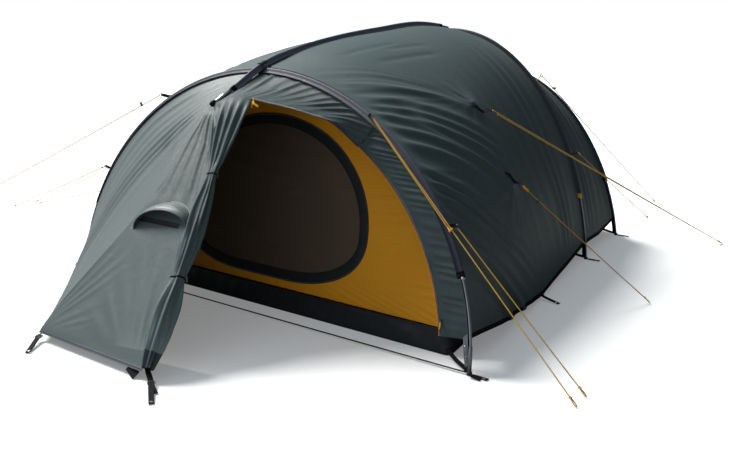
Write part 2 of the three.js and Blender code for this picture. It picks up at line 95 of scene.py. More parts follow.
VENT_WINDOW = (0.478, 0.496)  # heights between which the net shows under the hood
PANEL_TOP = 0.918
CREASE = [(0.032, -0.360), (0.085, -0.345), (0.330, -0.215), (0.551, -0.095), (0.840, -0.022),
    (0.905, -0.012)]


def cubic(pairs):
    """A smooth curve through (position, value) pairs."""
    x, y = (np.array(c, float) for c in zip(*pairs))
    slope = np.gradient(y, x)

    def at(q):
        q = np.clip(q, x[0], x[-1])
        i = np.clip(np.searchsorted(x, q) - 1, 0, len(x) - 2)
        h = x[i + 1] - x[i]
        t = (q - x[i]) / h
        return ((1 + 2 * t) * (1 - t) ** 2 * y[i] + t * (1 - t) ** 2 * h * slope[i]
                + t * t * (3 - 2 * t) * y[i + 1] + t * t * (t - 1) * h * slope[i + 1])
    return at


ridge_top = cubic(FLY_RIDGE)
crease_x = cubic(CREASE)


def hem_height(station):
    return np.interp(station, *zip(*HEM))


def on_hoop(h, angle, inset=0.0):
    """Points of a hoop's outline: angle 0 is its right foot and pi its left one."""
    c, s = np.cos(angle), np.sin(angle)
    power = 2 / h["bulge"]
    z = (h["high"] - inset) * np.abs(s) ** power
    x = (h["half"] - inset) * np.sign(c) * np.abs(c) ** power
    return np.stack([x, h["y"] + h["lean"] * z / h["high"], z], -1)


def angle_at(h, z, inset=0.0):
    return np.arcsin(np.clip(z / (h["high"] - inset), 0, 1) ** (h["bulge"] / 2))


def section(station):
    """The tent's hoop-like section at a station: 0 front hoop, 1 rear hoop, 2 end hoop."""
    station = np.asarray(station, float)
    first = station <= 1
    t = np.where(first, station, station - 1)
    s = {k: np.where(first, FRONT[k] + (REAR[k] - FRONT[k]) * t, REAR[k] + (END[k] - REAR[k]) * t)
        for k in FRONT}
    s["y"] = s["y"] + np.where(first, FLY_START * (1 - station), 0)
    s["high"] = np.where(first, ridge_top(s["y"] + s["lean"]) + SKIN_INSET, s["high"])
    return s


def on_skin(station, across):
    """Points of the flysheet: across runs 0 to 1 from the right hem to the left one."""
    s = section(station)
    low = angle_at(s, hem_height(station), SKIN_INSET)
    return on_hoop(s, low + (math.pi - 2 * low) * across, SKIN_INSET)


# ---- wrinkles -------------------------------------------------------------------------------------

def smooth(x, a, b):
    t = np.clip((x - a) / (b - a), 0, 1)
    return t * t * (3 - 2 * t)


def between(x, a, b, c, d):
    """0 outside a to d and 1 between b and c."""
    return smooth(x, a, b) * (1 - smooth(x, c, d))


def noise(seed, *at):
    """Smooth noise, about -1 to 1, in one, two or three dimensions with a unit grid."""
    at = [np.asarray(a, float) for a in np.broadcast_arrays(*at)]
    table = np.random.default_rng(seed).uniform(-1, 1, (64,) * len(at))
    total = 0
    low = [np.floor(a).astype(int) for a in at]
    part = [a - l for a, l in zip(at, low)]
    part = [t * t * (3 - 2 * t) for t in part]
    for corner in range(2 ** len(at)):
        bits = [corner >> k & 1 for k in range(len(at))]
        weight = np.prod([t if b else 1 - t for t, b in zip(part, bits)], axis=0)
        total = total + weight * table[tuple((l + b) % 64 for l, b in zip(low, bits))]
    return total


def folds(seed, x, sharp=0.5):
    """Uneven ridges across x, one to about a unit: 0 in the hollows and 1 on the crests."""
    bend = x + 0.35 * noise(seed, x * 0.61)
    wave = 0.5 - 0.5 * np.cos(2 * math.pi * bend)
    height = 0.65 + 0.35 * noise(seed + 1, x * 0.83 + 5)
    return height * (sharp * wave ** 2 + (1 - sharp) * wave)


# ---- mesh building --------------------------------------------------------------------------------

def link(name, mesh, material=None, body="tent"):
    obj = bpy.data.objects.new(name, mesh)
    bpy.context.scene.collection.objects.link(obj)
    if material is not None:
        mesh.materials.append(material)
    if body:
        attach(obj, body)
    return obj


def grid_normals(p, close=(False, False)):
    def slope(axis):
        if close[axis]:
            return np.roll(p, -1, axis) - np.roll(p, 1, axis)
        return np.gradient(p, axis=axis)
    n = np.cross(slope(0), slope(1))
    return n / np.maximum(np.linalg.norm(n, axis=-1, keepdims=True), 1e-12)


def lengths(p, axis):
    """Distance along a grid's lines, from 0, for each point."""
    step = np.linalg.norm(np.diff(p, axis=axis), axis=-1)
    pad = [(0, 0), (0, 0)]
    pad[axis] = (1, 0)
    return np.pad(np.cumsum(step, axis), pad)


def sharp_border(mesh):
    """Keeps a cloth's open edges from rounding its shading."""
    edge = np.zeros(len(mesh.loops), np.int32)
    mesh.loops.foreach_get("edge_index", edge)
    border = np.bincount(edge, minlength=len(mesh.edges)) == 1
    sharp = mesh.attributes.get("sharp_edge") or mesh.attributes.new("sharp_edge", "BOOLEAN", "EDGE")
    sharp.data.foreach_set("value", border)


def grid_mesh(name, p, material, body="tent", close=(False, False), thick=0.0, flip=False, uv=None):
    """A smooth sheet over a grid of points, with its size in metres as UVs."""
    rows, cols = p.shape[:2]
    if uv is None:
        uv = np.stack([lengths(p, 0).mean(1, keepdims=True) + np.zeros((rows, cols)),
                       lengths(p, 1).mean(0, keepdims=True) + np.zeros((rows, cols))], -1)
    i, j = np.meshgrid(np.arange(rows if close[0] else rows - 1), np.arange(cols if close[1] else cols - 1),
        indexing="ij")
    i, j = i.ravel(), j.ravel()
    i2, j2 = (i + 1) % rows, (j + 1) % cols
    quads = np.stack([i * cols + j, i2 * cols + j, i2 * cols + j2, i * cols + j2], -1)
    if flip:
        quads = quads[:, ::-1]
    mesh = bpy.data.meshes.new(name)
    mesh.from_pydata(p.reshape(-1, 3).tolist(), [], quads.tolist())
    layer = mesh.uv_layers.new(name="cloth")
    flat = uv.reshape(-1, 2)
    layer.data.foreach_set("uv", flat[quads.ravel()].astype(np.float32).ravel())
    mesh.shade_smooth()
    sharp_border(mesh)
    obj = link(name, mesh, material, body)
    if thick:
        solid = obj.modifiers.new("thickness", "SOLIDIFY")
        solid.thickness = thick
        solid.offset = -1
    return obj


def line_frame(line, up):
    """Tangents, side and outward directions along a line of points."""
    t = np.gradient(line, axis=0)
    t /= np.linalg.norm(t, axis=1, keepdims=True)
    up = np.broadcast_to(np.asarray(up, float), line.shape)
    out = up - (up * t).sum(1, keepdims=True) * t
    out /= np.linalg.norm(out, axis=1, keepdims=True)
    return t, np.cross(t, out), out


def resample(line, step):
    line = np.asarray(line, float)
    along = np.concatenate([[0], np.cumsum(np.linalg.norm(np.diff(line, axis=0), axis=1))])
    count = max(2, int(round(along[-1] / step)) + 1)
    at = np.linspace(0, along[-1], count)
    return np.stack([np.interp(at, along, line[:, k]) for k in range(3)], -1)


def swept(name, line, profile, material, up=UP, body="tent", closed=True, cap=True, scale=None, thick=0.0):
    """A profile of (side, out) points carried along a line."""
    line = np.asarray(line, float)
    _, side, out = line_frame(line, up)
    profile = np.asarray(profile, float)
    if profile.ndim == 2:
        profile = np.broadcast_to(profile, (len(line),) + profile.shape)
    if scale is not None:
        profile = profile * np.asarray(scale)[:, None, None]
    p = line[:, None] + profile[..., :1] * side[:, None] + profile[..., 1:] * out[:, None]
    obj = grid_mesh(name, p, material, body, close=(False, closed), thick=thick, flip=True)
    if closed and cap:
        mesh = obj.data
        cols = p.shape[1]
        ends = [list(range(cols)), list(range((len(line) - 1) * cols, len(line) * cols))[::-1]]
        points = [tuple(v.co) for v in mesh.vertices]
        faces = [list(f.vertices) for f in mesh.polygons] + ends
        uvs = [tuple(u.uv) for u in mesh.uv_layers[0].data] + [(0, 0)] * (2 * cols)
        new = bpy.data.meshes.new(name)
        new.from_pydata(points, [], faces)
        new.uv_layers.new(name="cloth").data.foreach_set("uv", np.array(uvs, np.float32).ravel())
        new.materials.append(material)
        new.shade_smooth()
        obj.data = new
        bpy.data.meshes.remove(mesh)
    return obj


def round_profile(radius, sides=12):
    a = np.linspace(0, 2 * math.pi, sides, endpoint=False)
    return np.stack([np.cos(a), np.sin(a)], -1) * radius


def band_profile(wide, thick, sides=3):
    """A flat strap's section with softened edges."""
    w, t = wide / 2, thick / 2
    x = np.linspace(-w + t, w - t, sides + 1)
    top = [(q, t) for q in x[::-1]]
    bottom = [(q, -t) for q in x]
    return np.array([(w, 0)] + top + [(-w, 0)] + bottom)


# ---- materials ------------------------------------------------------------------------------------

SETTINGS = ("operation", "blend_type", "data_type", "uv_map")  # set on the node itself, not on an input


class Nodes:
    """A material's node tree, with short calls for the nodes used here."""

    def __init__(self, name):
        self.material = bpy.data.materials.new(name)
        self.material.use_nodes = True
        self.tree = self.material.node_tree
        self.shader = self.tree.nodes["Principled BSDF"]

    def node(self, kind, **inputs):
        """A new node; iN= is its input number N, and any other name is that input's own."""
        n = self.tree.nodes.new(kind)
        for key, value in inputs.items():
            if key in SETTINGS:
                setattr(n, key, value)
        for key, value in inputs.items():
            if key in SETTINGS:
                continue
            socket = n.inputs[int(key[1:])] if key[0] == "i" and key[1:].isdigit() else n.inputs[key.replace("_", " ")]
            self.put(socket, value)
        return n

    def put(self, socket, value):
        if isinstance(value, bpy.types.NodeSocket):
            self.tree.links.new(value, socket)
        elif isinstance(value, bpy.types.Node):
            self.tree.links.new(value.outputs[0], socket)
        else:
            socket.default_value = value

    def math(self, operation, a, b=0.0, c=0.0):
        return self.node("ShaderNodeMath", operation=operation, i0=a, i1=b, i2=c)

    def mix(self, share, a, b, how="MIX"):
        n = self.node("ShaderNodeMix", data_type="RGBA", blend_type=how)
        self.put(n.inputs[0], share)
        self.put(n.inputs[6], a)
        self.put(n.inputs[7], b)
        return n.outputs[2]

    def uv(self):
        n = self.node("ShaderNodeSeparateXYZ", i0=self.node("ShaderNodeUVMap", uv_map="cloth"))
        return n.outputs[0], n.outputs[1]

    def place(self):
        return self.node("ShaderNodeTexCoord").outputs["Object"]

    def noise(self, scale, detail=3.0, vector=None):
        n = self.node("ShaderNodeTexNoise", Scale=scale, Detail=detail)
        self.put(n.inputs["Vector"], vector if vector is not None else self.place())
        return n.outputs[0]

    def bump(self, height, distance, strength=1.0, normal=None):
        n = self.node("ShaderNodeBump", Height=height, Distance=distance, Strength=strength)
        if normal is not None:
            self.put(n.inputs["Normal"], normal)
        return n.outputs[0]


def threads(m, u, v, pitch):
    """Height of a plain weave with that thread pitch."""
    a = m.math("SINE", m.math("MULTIPLY", u, 2 * math.pi / pitch))
    b = m.math("SINE", m.math("MULTIPLY", v, 2 * math.pi / pitch))
    return m.math("MULTIPLY", a, b)


def grid_lines(m, u, v, pitch, wide):
    """1 on the lines of a square grid, such as ripstop's thicker threads, and 0 between."""
    def lines(x):
        f = m.math("FRACT", m.math("DIVIDE", x, pitch))
        return m.math("LESS_THAN", m.math("ABSOLUTE", m.math("SUBTRACT", f, 0.5)), wide / pitch / 2)
    return m.math("MAXIMUM", lines(u), lines(v))


def cloth(name, color, rough=0.55, weave=0.0005, ripstop=0.0, vary=0.12, crinkle=0.0012, sheen=0.15,
        through=0.0,
          crinkle_scale=28.0, spec=0.35):
    m = Nodes(name)
    u, v = m.uv()
    wide = m.noise(1.7, 2.0)
    fine = m.noise(60.0, 2.0)
    dark = tuple(c * (1 - vary) for c in color) + (1,)
    light = tuple(min(1, c * (1 + vary)) for c in color) + (1,)
    shade = m.mix(wide, dark, light)
    shade = m.mix(m.math("MULTIPLY", fine, 0.25), shade, tuple(c * 0.75 for c in color) + (1,))
    height = threads(m, u, v, weave)
    if ripstop:
        lines = grid_lines(m, u, v, ripstop, ripstop * 0.09)
        shade = m.mix(m.math("MULTIPLY", lines, 0.16), shade, (0.9, 0.95, 1, 1), "SOFT_LIGHT")
        height = m.math("ADD", height, m.math("MULTIPLY", lines, 1.2))
    m.put(m.shader.inputs["Base Color"], shade)
    m.put(m.shader.inputs["Roughness"], m.math("MULTIPLY_ADD", fine, 0.2, rough - 0.1))
    m.shader.inputs["Sheen Weight"].default_value = sheen
    m.shader.inputs["Sheen Roughness"].default_value = 0.4
    m.shader.inputs["Specular IOR Level"].default_value = spec
    normal = m.bump(height, 0.00006, 0.5)
    normal = m.bump(m.noise(crinkle_scale, 4.0), crinkle, 0.6, normal)
    m.put(m.shader.inputs["Normal"], normal)
    if through:
        glow = m.node("ShaderNodeBsdfTranslucent", Color=tuple(c * 1.1 for c in color) + (1,))
        both = m.node("ShaderNodeMixShader", i0=through, i1=m.shader.outputs[0], i2=glow.outputs[0])
        m.put(m.tree.nodes["Material Output"].inputs[0], both.outputs[0])
    return m.material


def webbing_look(name, color):
    """Ribbed woven webbing with a faint chevron."""
    m = Nodes(name)
    u, v = m.uv()
    rib = m.math("SINE", m.math("MULTIPLY", u, 2 * math.pi / 0.0016))
    chevron = m.math("SINE", m.math("MULTIPLY", m.math("ADD", u, v), 2 * math.pi / 0.0022))
    height = m.math("ADD", rib, m.math("MULTIPLY", chevron, 0.6))
    # colour follows the weave's height: darker in the grooves and lighter on the ribs, as painted shade and highlight
    shade = m.mix(m.math("MULTIPLY_ADD", height, 0.12, 0.3), tuple(c * 0.7 for c in color) + (1,),
        tuple(min(1, c * 1.5) for c in color) + (1,))
    shade = m.mix(m.math("MULTIPLY", m.noise(40.0), 0.4), shade,
        tuple(c * 1.25 + 0.001 for c in color) + (1,))
    m.put(m.shader.inputs["Base Color"], shade)
    m.put(m.shader.inputs["Roughness"], m.math("MULTIPLY_ADD", m.noise(90.0), 0.2, 0.6))
    m.shader.inputs["Specular IOR Level"].default_value = 0.08
    m.put(m.shader.inputs["Normal"], m.bump(height, 0.00015, 0.7))
    return m.material


def metal_look(name, color, rough=0.28, brushed=True):
    m = Nodes(name)
    m.shader.inputs["Metallic"].default_value = 1.0
    worn = m.noise(35.0, 4.0)
    m.put(m.shader.inputs["Base Color"], m.mix(worn, tuple(c * 0.8 for c in color) + (1,), color + (1,)))
    m.put(m.shader.inputs["Roughness"], m.math("MULTIPLY_ADD", worn, 0.25, rough - 0.1))
    if brushed:
        u, v = m.uv()
        lines = m.node("ShaderNodeCombineXYZ", i0=m.math("MULTIPLY", u, 6.0), i1=m.math("MULTIPLY", v, 900.0))
        m.put(m.shader.inputs["Normal"], m.bump(m.noise(1.0, 2.0, lines.outputs[0]), 0.00004, 0.4))
    return m.material


def plastic_look(name, color, rough=0.42):
    m = Nodes(name)
    grain = m.noise(420.0, 2.0)
    scuff = m.noise(70.0, 5.0)
    m.put(m.shader.inputs["Base Color"], m.mix(m.math("MULTIPLY", scuff, 0.35), color + (1,),
        tuple(min(1, c * 1.7 + 0.02) for c in color) + (1,)))
    m.put(m.shader.inputs["Roughness"], m.math("MULTIPLY_ADD", scuff, 0.25, rough - 0.1))
    m.put(m.shader.inputs["Normal"], m.bump(grain, 0.00008, 0.35))
    return m.material


def cord_look(name, color):
    """A braided cord: crossing helical strands."""
    m = Nodes(name)
    u, v = m.uv()
    a = m.math("SINE", m.math("MULTIPLY", m.math("ADD", m.math("MULTIPLY", u, 0.6), v), 2 * math.pi / 0.0024))
    b = m.math("SINE", m.math("MULTIPLY", m.math("SUBTRACT", m.math("MULTIPLY", u, 0.6), v),
        2 * math.pi / 0.0024))
    height = m.math("MAXIMUM", a, b)
    # colour follows the strands' height: darker in the hollows between them, as painted shade
    m.put(m.shader.inputs["Base Color"], m.mix(m.math("MULTIPLY_ADD", height, 0.4, 0.5),
        tuple(c * 0.55 for c in color) + (1,), color + (1,)))
    m.put(m.shader.inputs["Roughness"], m.math("MULTIPLY_ADD", m.noise(200.0), 0.2, 0.5))
    m.shader.inputs["Sheen Weight"].default_value = 0.2
    m.put(m.shader.inputs["Normal"], m.bump(height, 0.0002, 0.6))
    return m.material


def net_look(name, color):
    """Fine insect mesh: a dark net drawn as a grid of darker threads over a lighter ground, with no real holes."""
    m = Nodes(name)
    u, v = m.uv()
    line = grid_lines(m, u, v, 0.0016, 0.0006)
    shade = m.mix(m.noise(3.0, 3.0), tuple(c * 0.7 for c in color) + (1,),
        tuple(c * 1.3 for c in color) + (1,))
    m.put(m.shader.inputs["Base Color"], m.mix(m.math("MULTIPLY", line, 0.5), shade,
        tuple(c * 0.45 for c in color) + (1,)))
    m.put(m.shader.inputs["Roughness"], m.math("MULTIPLY_ADD", m.noise(50.0), 0.15, 0.75))
    m.put(m.shader.inputs["Normal"], m.bump(line, 0.00025, 0.5))
    return m.material


def zip_look(name, color):
    """Zip tape with a coil of teeth along its middle."""
    m = Nodes(name)
    u, _ = m.uv()
    teeth = m.math("SINE", m.math("MULTIPLY", u, 2 * math.pi / 0.0014))
    # colour follows the teeth: lighter on their crests and darker between them, as painted highlight and shade
    m.put(m.shader.inputs["Base Color"], m.mix(m.math("MULTIPLY_ADD", teeth, 0.4, 0.5),
        tuple(c * 0.5 for c in color) + (1,), tuple(c * 1.7 + 0.02 for c in color) + (1,)))
    m.put(m.shader.inputs["Roughness"], m.math("MULTIPLY_ADD", teeth, -0.1, 0.45))
    m.put(m.shader.inputs["Normal"], m.bump(teeth, 0.0004, 0.8))
    return m.material


SHELL = {"ripstop": 0.006, "vary": 0.10, "crinkle": 0.0018}
SLEEVING = {"rough": 0.6, "weave": 0.0008, "vary": 0.10, "crinkle": 0.0012, "crinkle_scale": 60.0}
FLY = cloth("flysheet_cloth", (0.054, 0.078, 0.079), rough=0.48, **SHELL, sheen=0.04, through=0.04, spec=0.22)
# A darker copy of the flysheet cloth: painted shade for the roof strip and the doorway's edge strip, which lie in the
# front hoop's shadow.
SHADED_FLY = cloth("fly_cloth_painted_shade", (0.040, 0.058, 0.059), rough=0.50, **SHELL, sheen=0.03, through=0.04,
    spec=0.18)
# A lighter, glossier copy of the flysheet cloth for the vestibule and the vent hood: its lighter colour is painted
# light.
PAINTED_LIGHT_FLY = cloth("fly_cloth_painted_light", (0.068, 0.089, 0.087), rough=0.44, **SHELL, sheen=0.12, through=0.06,
    spec=0.32)
# A darker copy of the sleeve cloth for the rear and end hoops: painted shade.
PAINTED_SHADE_SLEEVE = cloth("rear_sleeve_cloth", (0.040, 0.050, 0.058), **SLEEVING, sheen=0.05)
# A lighter copy of the sleeve cloth for the ridge: painted light on a sleeve whose sides face away from the sun.
PAINTED_LIGHT_SLEEVE = cloth("sleeve_cloth_painted_light", (0.100, 0.104, 0.140), **SLEEVING, sheen=0.2)
SLEEVE = cloth("sleeve_cloth", (0.036, 0.036, 0.060), **SLEEVING, sheen=0.06)
INNER = cloth("inner_cloth", (0.88, 0.38, 0.014), rough=0.6, ripstop=0.005, vary=0.08, crinkle=0.0016,
    sheen=0.15, through=0.25, spec=0.25)
TUB = cloth("groundsheet_cloth", (0.015, 0.018, 0.022), rough=0.45, weave=0.0007, vary=0.15, crinkle=0.0025,
    sheen=0.05, crinkle_scale=14.0, spec=0.4)
BAND = cloth("door_band_cloth", (0.008, 0.009, 0.011), rough=0.7, weave=0.0007, vary=0.1, crinkle=0.0015,
    sheen=0.1, crinkle_scale=40.0)
NET = net_look("insect_mesh", (0.095, 0.062, 0.036))
# The vent's dark mesh, set to the tone of the shadow under the hood: partly the mesh's own dark colour, partly painted
# shade.
PAINTED_SHADE_NET = net_look("vent_mesh", (0.030, 0.033, 0.034))
WEBBING = webbing_look("black_webbing", (0.005, 0.005, 0.006))
GREY_WEBBING = webbing_look("grey_webbing", (0.16, 0.165, 0.18))
CORD = cord_look("guy_cord", (0.74, 0.39, 0.014))
POLE = metal_look("pole_tube", (0.30, 0.31, 0.345))
HARDWARE = plastic_look("dark_plastic", (0.02, 0.02, 0.022))
ORANGE = plastic_look("orange_plastic", (0.85, 0.36, 0.02))
RIBBON = cloth("orange_ribbon", (0.85, 0.42, 0.02), rough=0.55, weave=0.0006)
ORANGE_TAPE = cloth("orange_piping", (0.75, 0.16, 0.02), rough=0.55, weave=0.0006)
SHINY = metal_look("polished_tube", (0.72, 0.73, 0.76), rough=0.22)
STEEL = metal_look("steel_ring", (0.55, 0.55, 0.56), rough=0.25, brushed=False)
THREAD = cord_look("thread", (0.05, 0.05, 0.055))
ZIP = zip_look("zip_coil", (0.02, 0.02, 0.022))


def stage():
    size = 40
    mesh = bpy.data.meshes.new("floor")
    mesh.from_pydata([(-size, -size, 0), (size, -size, 0), (size, size, 0), (-size, size, 0)], [],
        [(0, 1, 2, 3)])
    m = Nodes("pale_floor")
    seen = m.node("ShaderNodeLightPath").outputs["Is Camera Ray"]
    pale = m.mix(m.noise(0.8, 2.0), (0.70, 0.70, 0.70, 1), (0.73, 0.73, 0.73, 1))
    m.put(m.shader.inputs["Base Color"], m.mix(seen, (0.18, 0.18, 0.18, 1), pale))
    m.put(m.shader.inputs["Emission Color"], m.mix(seen, (0, 0, 0, 1), (1, 1, 1, 1)))
    m.shader.inputs["Emission Strength"].default_value = 0.20
    m.shader.inputs["Roughness"].default_value = 0.9
    floor = link("floor", mesh, m.material, body=None)
    floor.location.z = -0.0015

    scene = bpy.context.scene
    scene.view_settings.view_transform = "Standard"
    world = scene.world or bpy.data.worlds.new("world")
    scene.world = world
    world.use_nodes = True
    tree = world.node_tree
    light, seen = tree.nodes["Background"], tree.nodes.new("ShaderNodeBackground")
    light.inputs[0].default_value = (0.74, 0.88, 1.0, 1)
    # more light comes from above and from the left, as outdoors with the sun on that side
    place, way = tree.nodes.new("ShaderNodeTexCoord"), tree.nodes.new("ShaderNodeVectorMath")
    way.operation, way.inputs[1].default_value = "DOT_PRODUCT", (-0.22, -0.24, 0.24)
    tree.links.new(place.outputs["Generated"], way.inputs[0])
    more, least = tree.nodes.new("ShaderNodeMath"), tree.nodes.new("ShaderNodeMath")
    more.operation, more.inputs[1].default_value = "ADD", 0.22
    least.operation, least.inputs[1].default_value = "MAXIMUM", 0.05
    tree.links.new(way.outputs["Value"], more.inputs[0])
    tree.links.new(more.outputs[0], least.inputs[0])
    tree.links.new(least.outputs[0], light.inputs[1])
    seen.inputs[0].default_value, seen.inputs[1].default_value = (1, 1, 1, 1), 1.0
    choose, path = tree.nodes.new("ShaderNodeMixShader"), tree.nodes.new("ShaderNodeLightPath")
    tree.links.new(path.outputs["Is Camera Ray"], choose.inputs[0])
    tree.links.new(light.outputs[0], choose.inputs[1])
    tree.links.new(seen.outputs[0], choose.inputs[2])
    tree.links.new(choose.outputs[0], tree.nodes["World Output"].inputs[0])
    sun = bpy.data.lights.new("sun", "SUN")
    sun.energy, sun.angle, sun.color = 6.9, math.radians(28), (1.0, 0.985, 0.95)
    lamp = bpy.data.objects.new("sun", sun)
    lamp.rotation_euler = Vector((-0.66, 0.0, 0.75)).to_track_quat("Z", "Y").to_euler()
    scene.collection.objects.link(lamp)
    # a soft fill that reaches in under the vestibule
    fill = bpy.data.lights.new("fill", "AREA")
    fill.energy, fill.size, fill.color = 2.4, 0.8, (1.0, 0.97, 0.93)
    card = bpy.data.objects.new("fill", fill)
    card.location = (0.50, -1.55, 0.05)
    card.rotation_euler = Vector((0.1, -0.62, -0.78)).to_track_quat("Z", "Y").to_euler()
    card.visible_camera = False
    scene.collection.objects.link(card)


# ---- guy lines ------------------------------------------------------------------------------------

PEG_Z = 0.004
GUYS = {
    "front_right_upper": ((0.668, -0.796, 0.898), (1.642, -0.914, PEG_Z)),
    "front_right_lower": ((1.094, -0.828, 0.524), (1.629, -0.816, PEG_Z)),
    "mid_right_upper_a": ((0.740, -0.028, 0.872), (1.252, 1.704, PEG_Z)),
    "mid_right_upper_b": ((0.757, -0.014, 0.852), (1.258, 1.698, PEG_Z)),
    "mid_right_lower": ((0.936, -0.088, 0.560), (1.379, 0.347, PEG_Z)),
    "rear_right_upper": ((0.556, 0.752, 0.984), (0.475, 2.645, PEG_Z)),
    "rear_right_lower": ((0.756, 0.808, 0.590), (0.648, 2.099, PEG_Z)),
    "front_left_upper": ((-0.684, -0.762, 0.912), (-3.000, -0.800, PEG_Z)),
    "front_left_lower": ((-1.106, -0.808, 0.530), (-2.950, -0.300, PEG_Z)),
    "mid_left_upper": ((-0.750, -0.020, 0.862), (-2.960, -0.140, PEG_Z)),
    "mid_left_lower": ((-0.936, 0.060, 0.480), (-2.900, -0.155, PEG_Z)),
}
CORD_D = 0.0045


def cord_curve(name, line, diameter, material):
    """A smooth poly curve with UVs along it, as a tube."""
    curve = bpy.data.curves.new(name, "CURVE")
    curve.dimensions = "3D"
    curve.bevel_depth = diameter / 2
    curve.bevel_resolution = 3
    curve.use_fill_caps = True
    spline = curve.splines.new("POLY")
    spline.points.add(len(line) - 1)
    for point, at in zip(spline.points, line):
        point.co = (*at, 1)
    curve.materials.append(material)
    obj = bpy.data.objects.new(name, curve)
    bpy.context.scene.collection.objects.link(obj)
    return obj


def tube(name, line, diameter, material, body="tent", sides=10, up=UP):
    return swept(name, line, round_profile(diameter / 2, sides), material, up, body)


def knot(name, at, along, size, material, body="tent"):
    """A small overhand knot: one closed turn of a trefoil."""
    t = np.linspace(0, 2 * math.pi, 60, endpoint=False)
    p = np.stack([np.sin(t) + 2 * np.sin(2 * t), np.cos(t) - 2 * np.cos(2 * t), -np.sin(3 * t)],
        -1) * size / 6
    along = np.asarray(along, float) / np.linalg.norm(along)
    side = np.cross(along, UP)
    side /= np.linalg.norm(side)
    up = np.cross(side, along)
    p = np.asarray(at) + p[:, :1] * along + p[:, 1:2] * side + p[:, 2:] * up
    t1 = np.roll(p, -1, 0) - np.roll(p, 1, 0)
    t1 /= np.linalg.norm(t1, axis=1, keepdims=True)
    ref = np.asarray(at) - p
    ref /= np.maximum(np.linalg.norm(ref, axis=1, keepdims=True), 1e-9)
    a = np.cross(t1, ref)
    a /= np.maximum(np.linalg.norm(a, axis=1, keepdims=True), 1e-9)
    b = np.cross(a, t1)
    prof = round_profile(CORD_D / 2, 8)
    grid = p[:, None] + prof[None, :, :1] * a[:, None] + prof[None, :, 1:] * b[:, None]
    return grid_mesh(name, grid, material, body, close=(True, True), flip=True)


def end_loop(name, at, to, wide=0.013, body="tent"):
    """The tied loop at a guy line's pegged end, in line with the cord."""
    at, to = np.asarray(at, float), np.asarray(to, float)
    way = to - at
    side = np.cross(UP, way)
    side /= np.linalg.norm(side)
    t = np.linspace(0, 2 * math.pi, 40, endpoint=False)
    across = wide / 2 * np.sin(t) * (0.35 + 0.65 * (1 - np.cos(t)) / 2)
    p = at + ((1 - np.cos(t)) / 2)[:, None] * way + across[:, None] * side
    tang = np.roll(p, -1, 0) - np.roll(p, 1, 0)
    tang /= np.linalg.norm(tang, axis=1, keepdims=True)
    a = np.cross(tang, np.cross(way, side))
    a /= np.linalg.norm(a, axis=1, keepdims=True)
    b = np.cross(tang, a)
    prof = round_profile(CORD_D / 2, 8)
    grid = p[:, None] + prof[None, :, :1] * a[:, None] + prof[None, :, 1:] * b[:, None]
    return grid_mesh(name, grid, CORD, body, close=(True, True))


def taut(a, b, sag=0.0, count=24):
    a, b = np.asarray(a, float), np.asarray(b, float)
    t = np.linspace(0, 1, count)[:, None]
    p = a + (b - a) * t
    p[:, 2] -= 4 * sag * (t * (1 - t))[:, 0]
    return p


def guy_lines():
    for name, (top, foot) in GUYS.items():
        top, foot = np.array(top), np.array(foot)
        way = foot - top
        line = taut(top, foot - 0.035 * way / np.linalg.norm(way), sag=0.004 if "left" in name else 0.002)
        cord = cord_curve("line_" + name, line, CORD_D, CORD)
        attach(cord, "tent")
        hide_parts("guy_" + name)
        low = line[-1]
        tie = knot("knot_" + name, low + np.array([0, 0, 0.001]), way, 0.011, CORD)
        loop = end_loop("loop_" + name, low, foot)


# ---- flysheet -------------------------------------------------------------------------------------

def skin_place(point):
    """The (station, across) of the flysheet point nearest to a point."""
    s, v = np.meshgrid(np.linspace(0, 2, 161), np.linspace(0, 1, 241), indexing="ij")
    far = np.linalg.norm(on_skin(s, v) - np.asarray(point), axis=-1)
    i, j = np.unravel_index(far.argmin(), far.shape)
    return s[i, j], v[i, j]


GUY_OUTS = {
    "upper": (0.669, -0.093, 0.903),
    "lower": (0.904, -0.130, 0.562),
}


def fan(s, v, at, seed, rate, low, high):
    """Folds that run from the front sleeve and meet at a guy-out."""
    s0, v0 = at
    left = np.clip(s0 - s, 0.02, None)
    start = v0 + (v - v0) * s0 / left
    share = np.clip(s / s0, 0, 1)
    strong = between(share, -0.05, 0.14, 0.70, 1.0) * between(start, low - 0.03, low + 0.03, high - 0.04,
        high + 0.05)
    return strong * np.sqrt(left / s0) * (folds(seed, start * rate, 0.8) - 0.45)


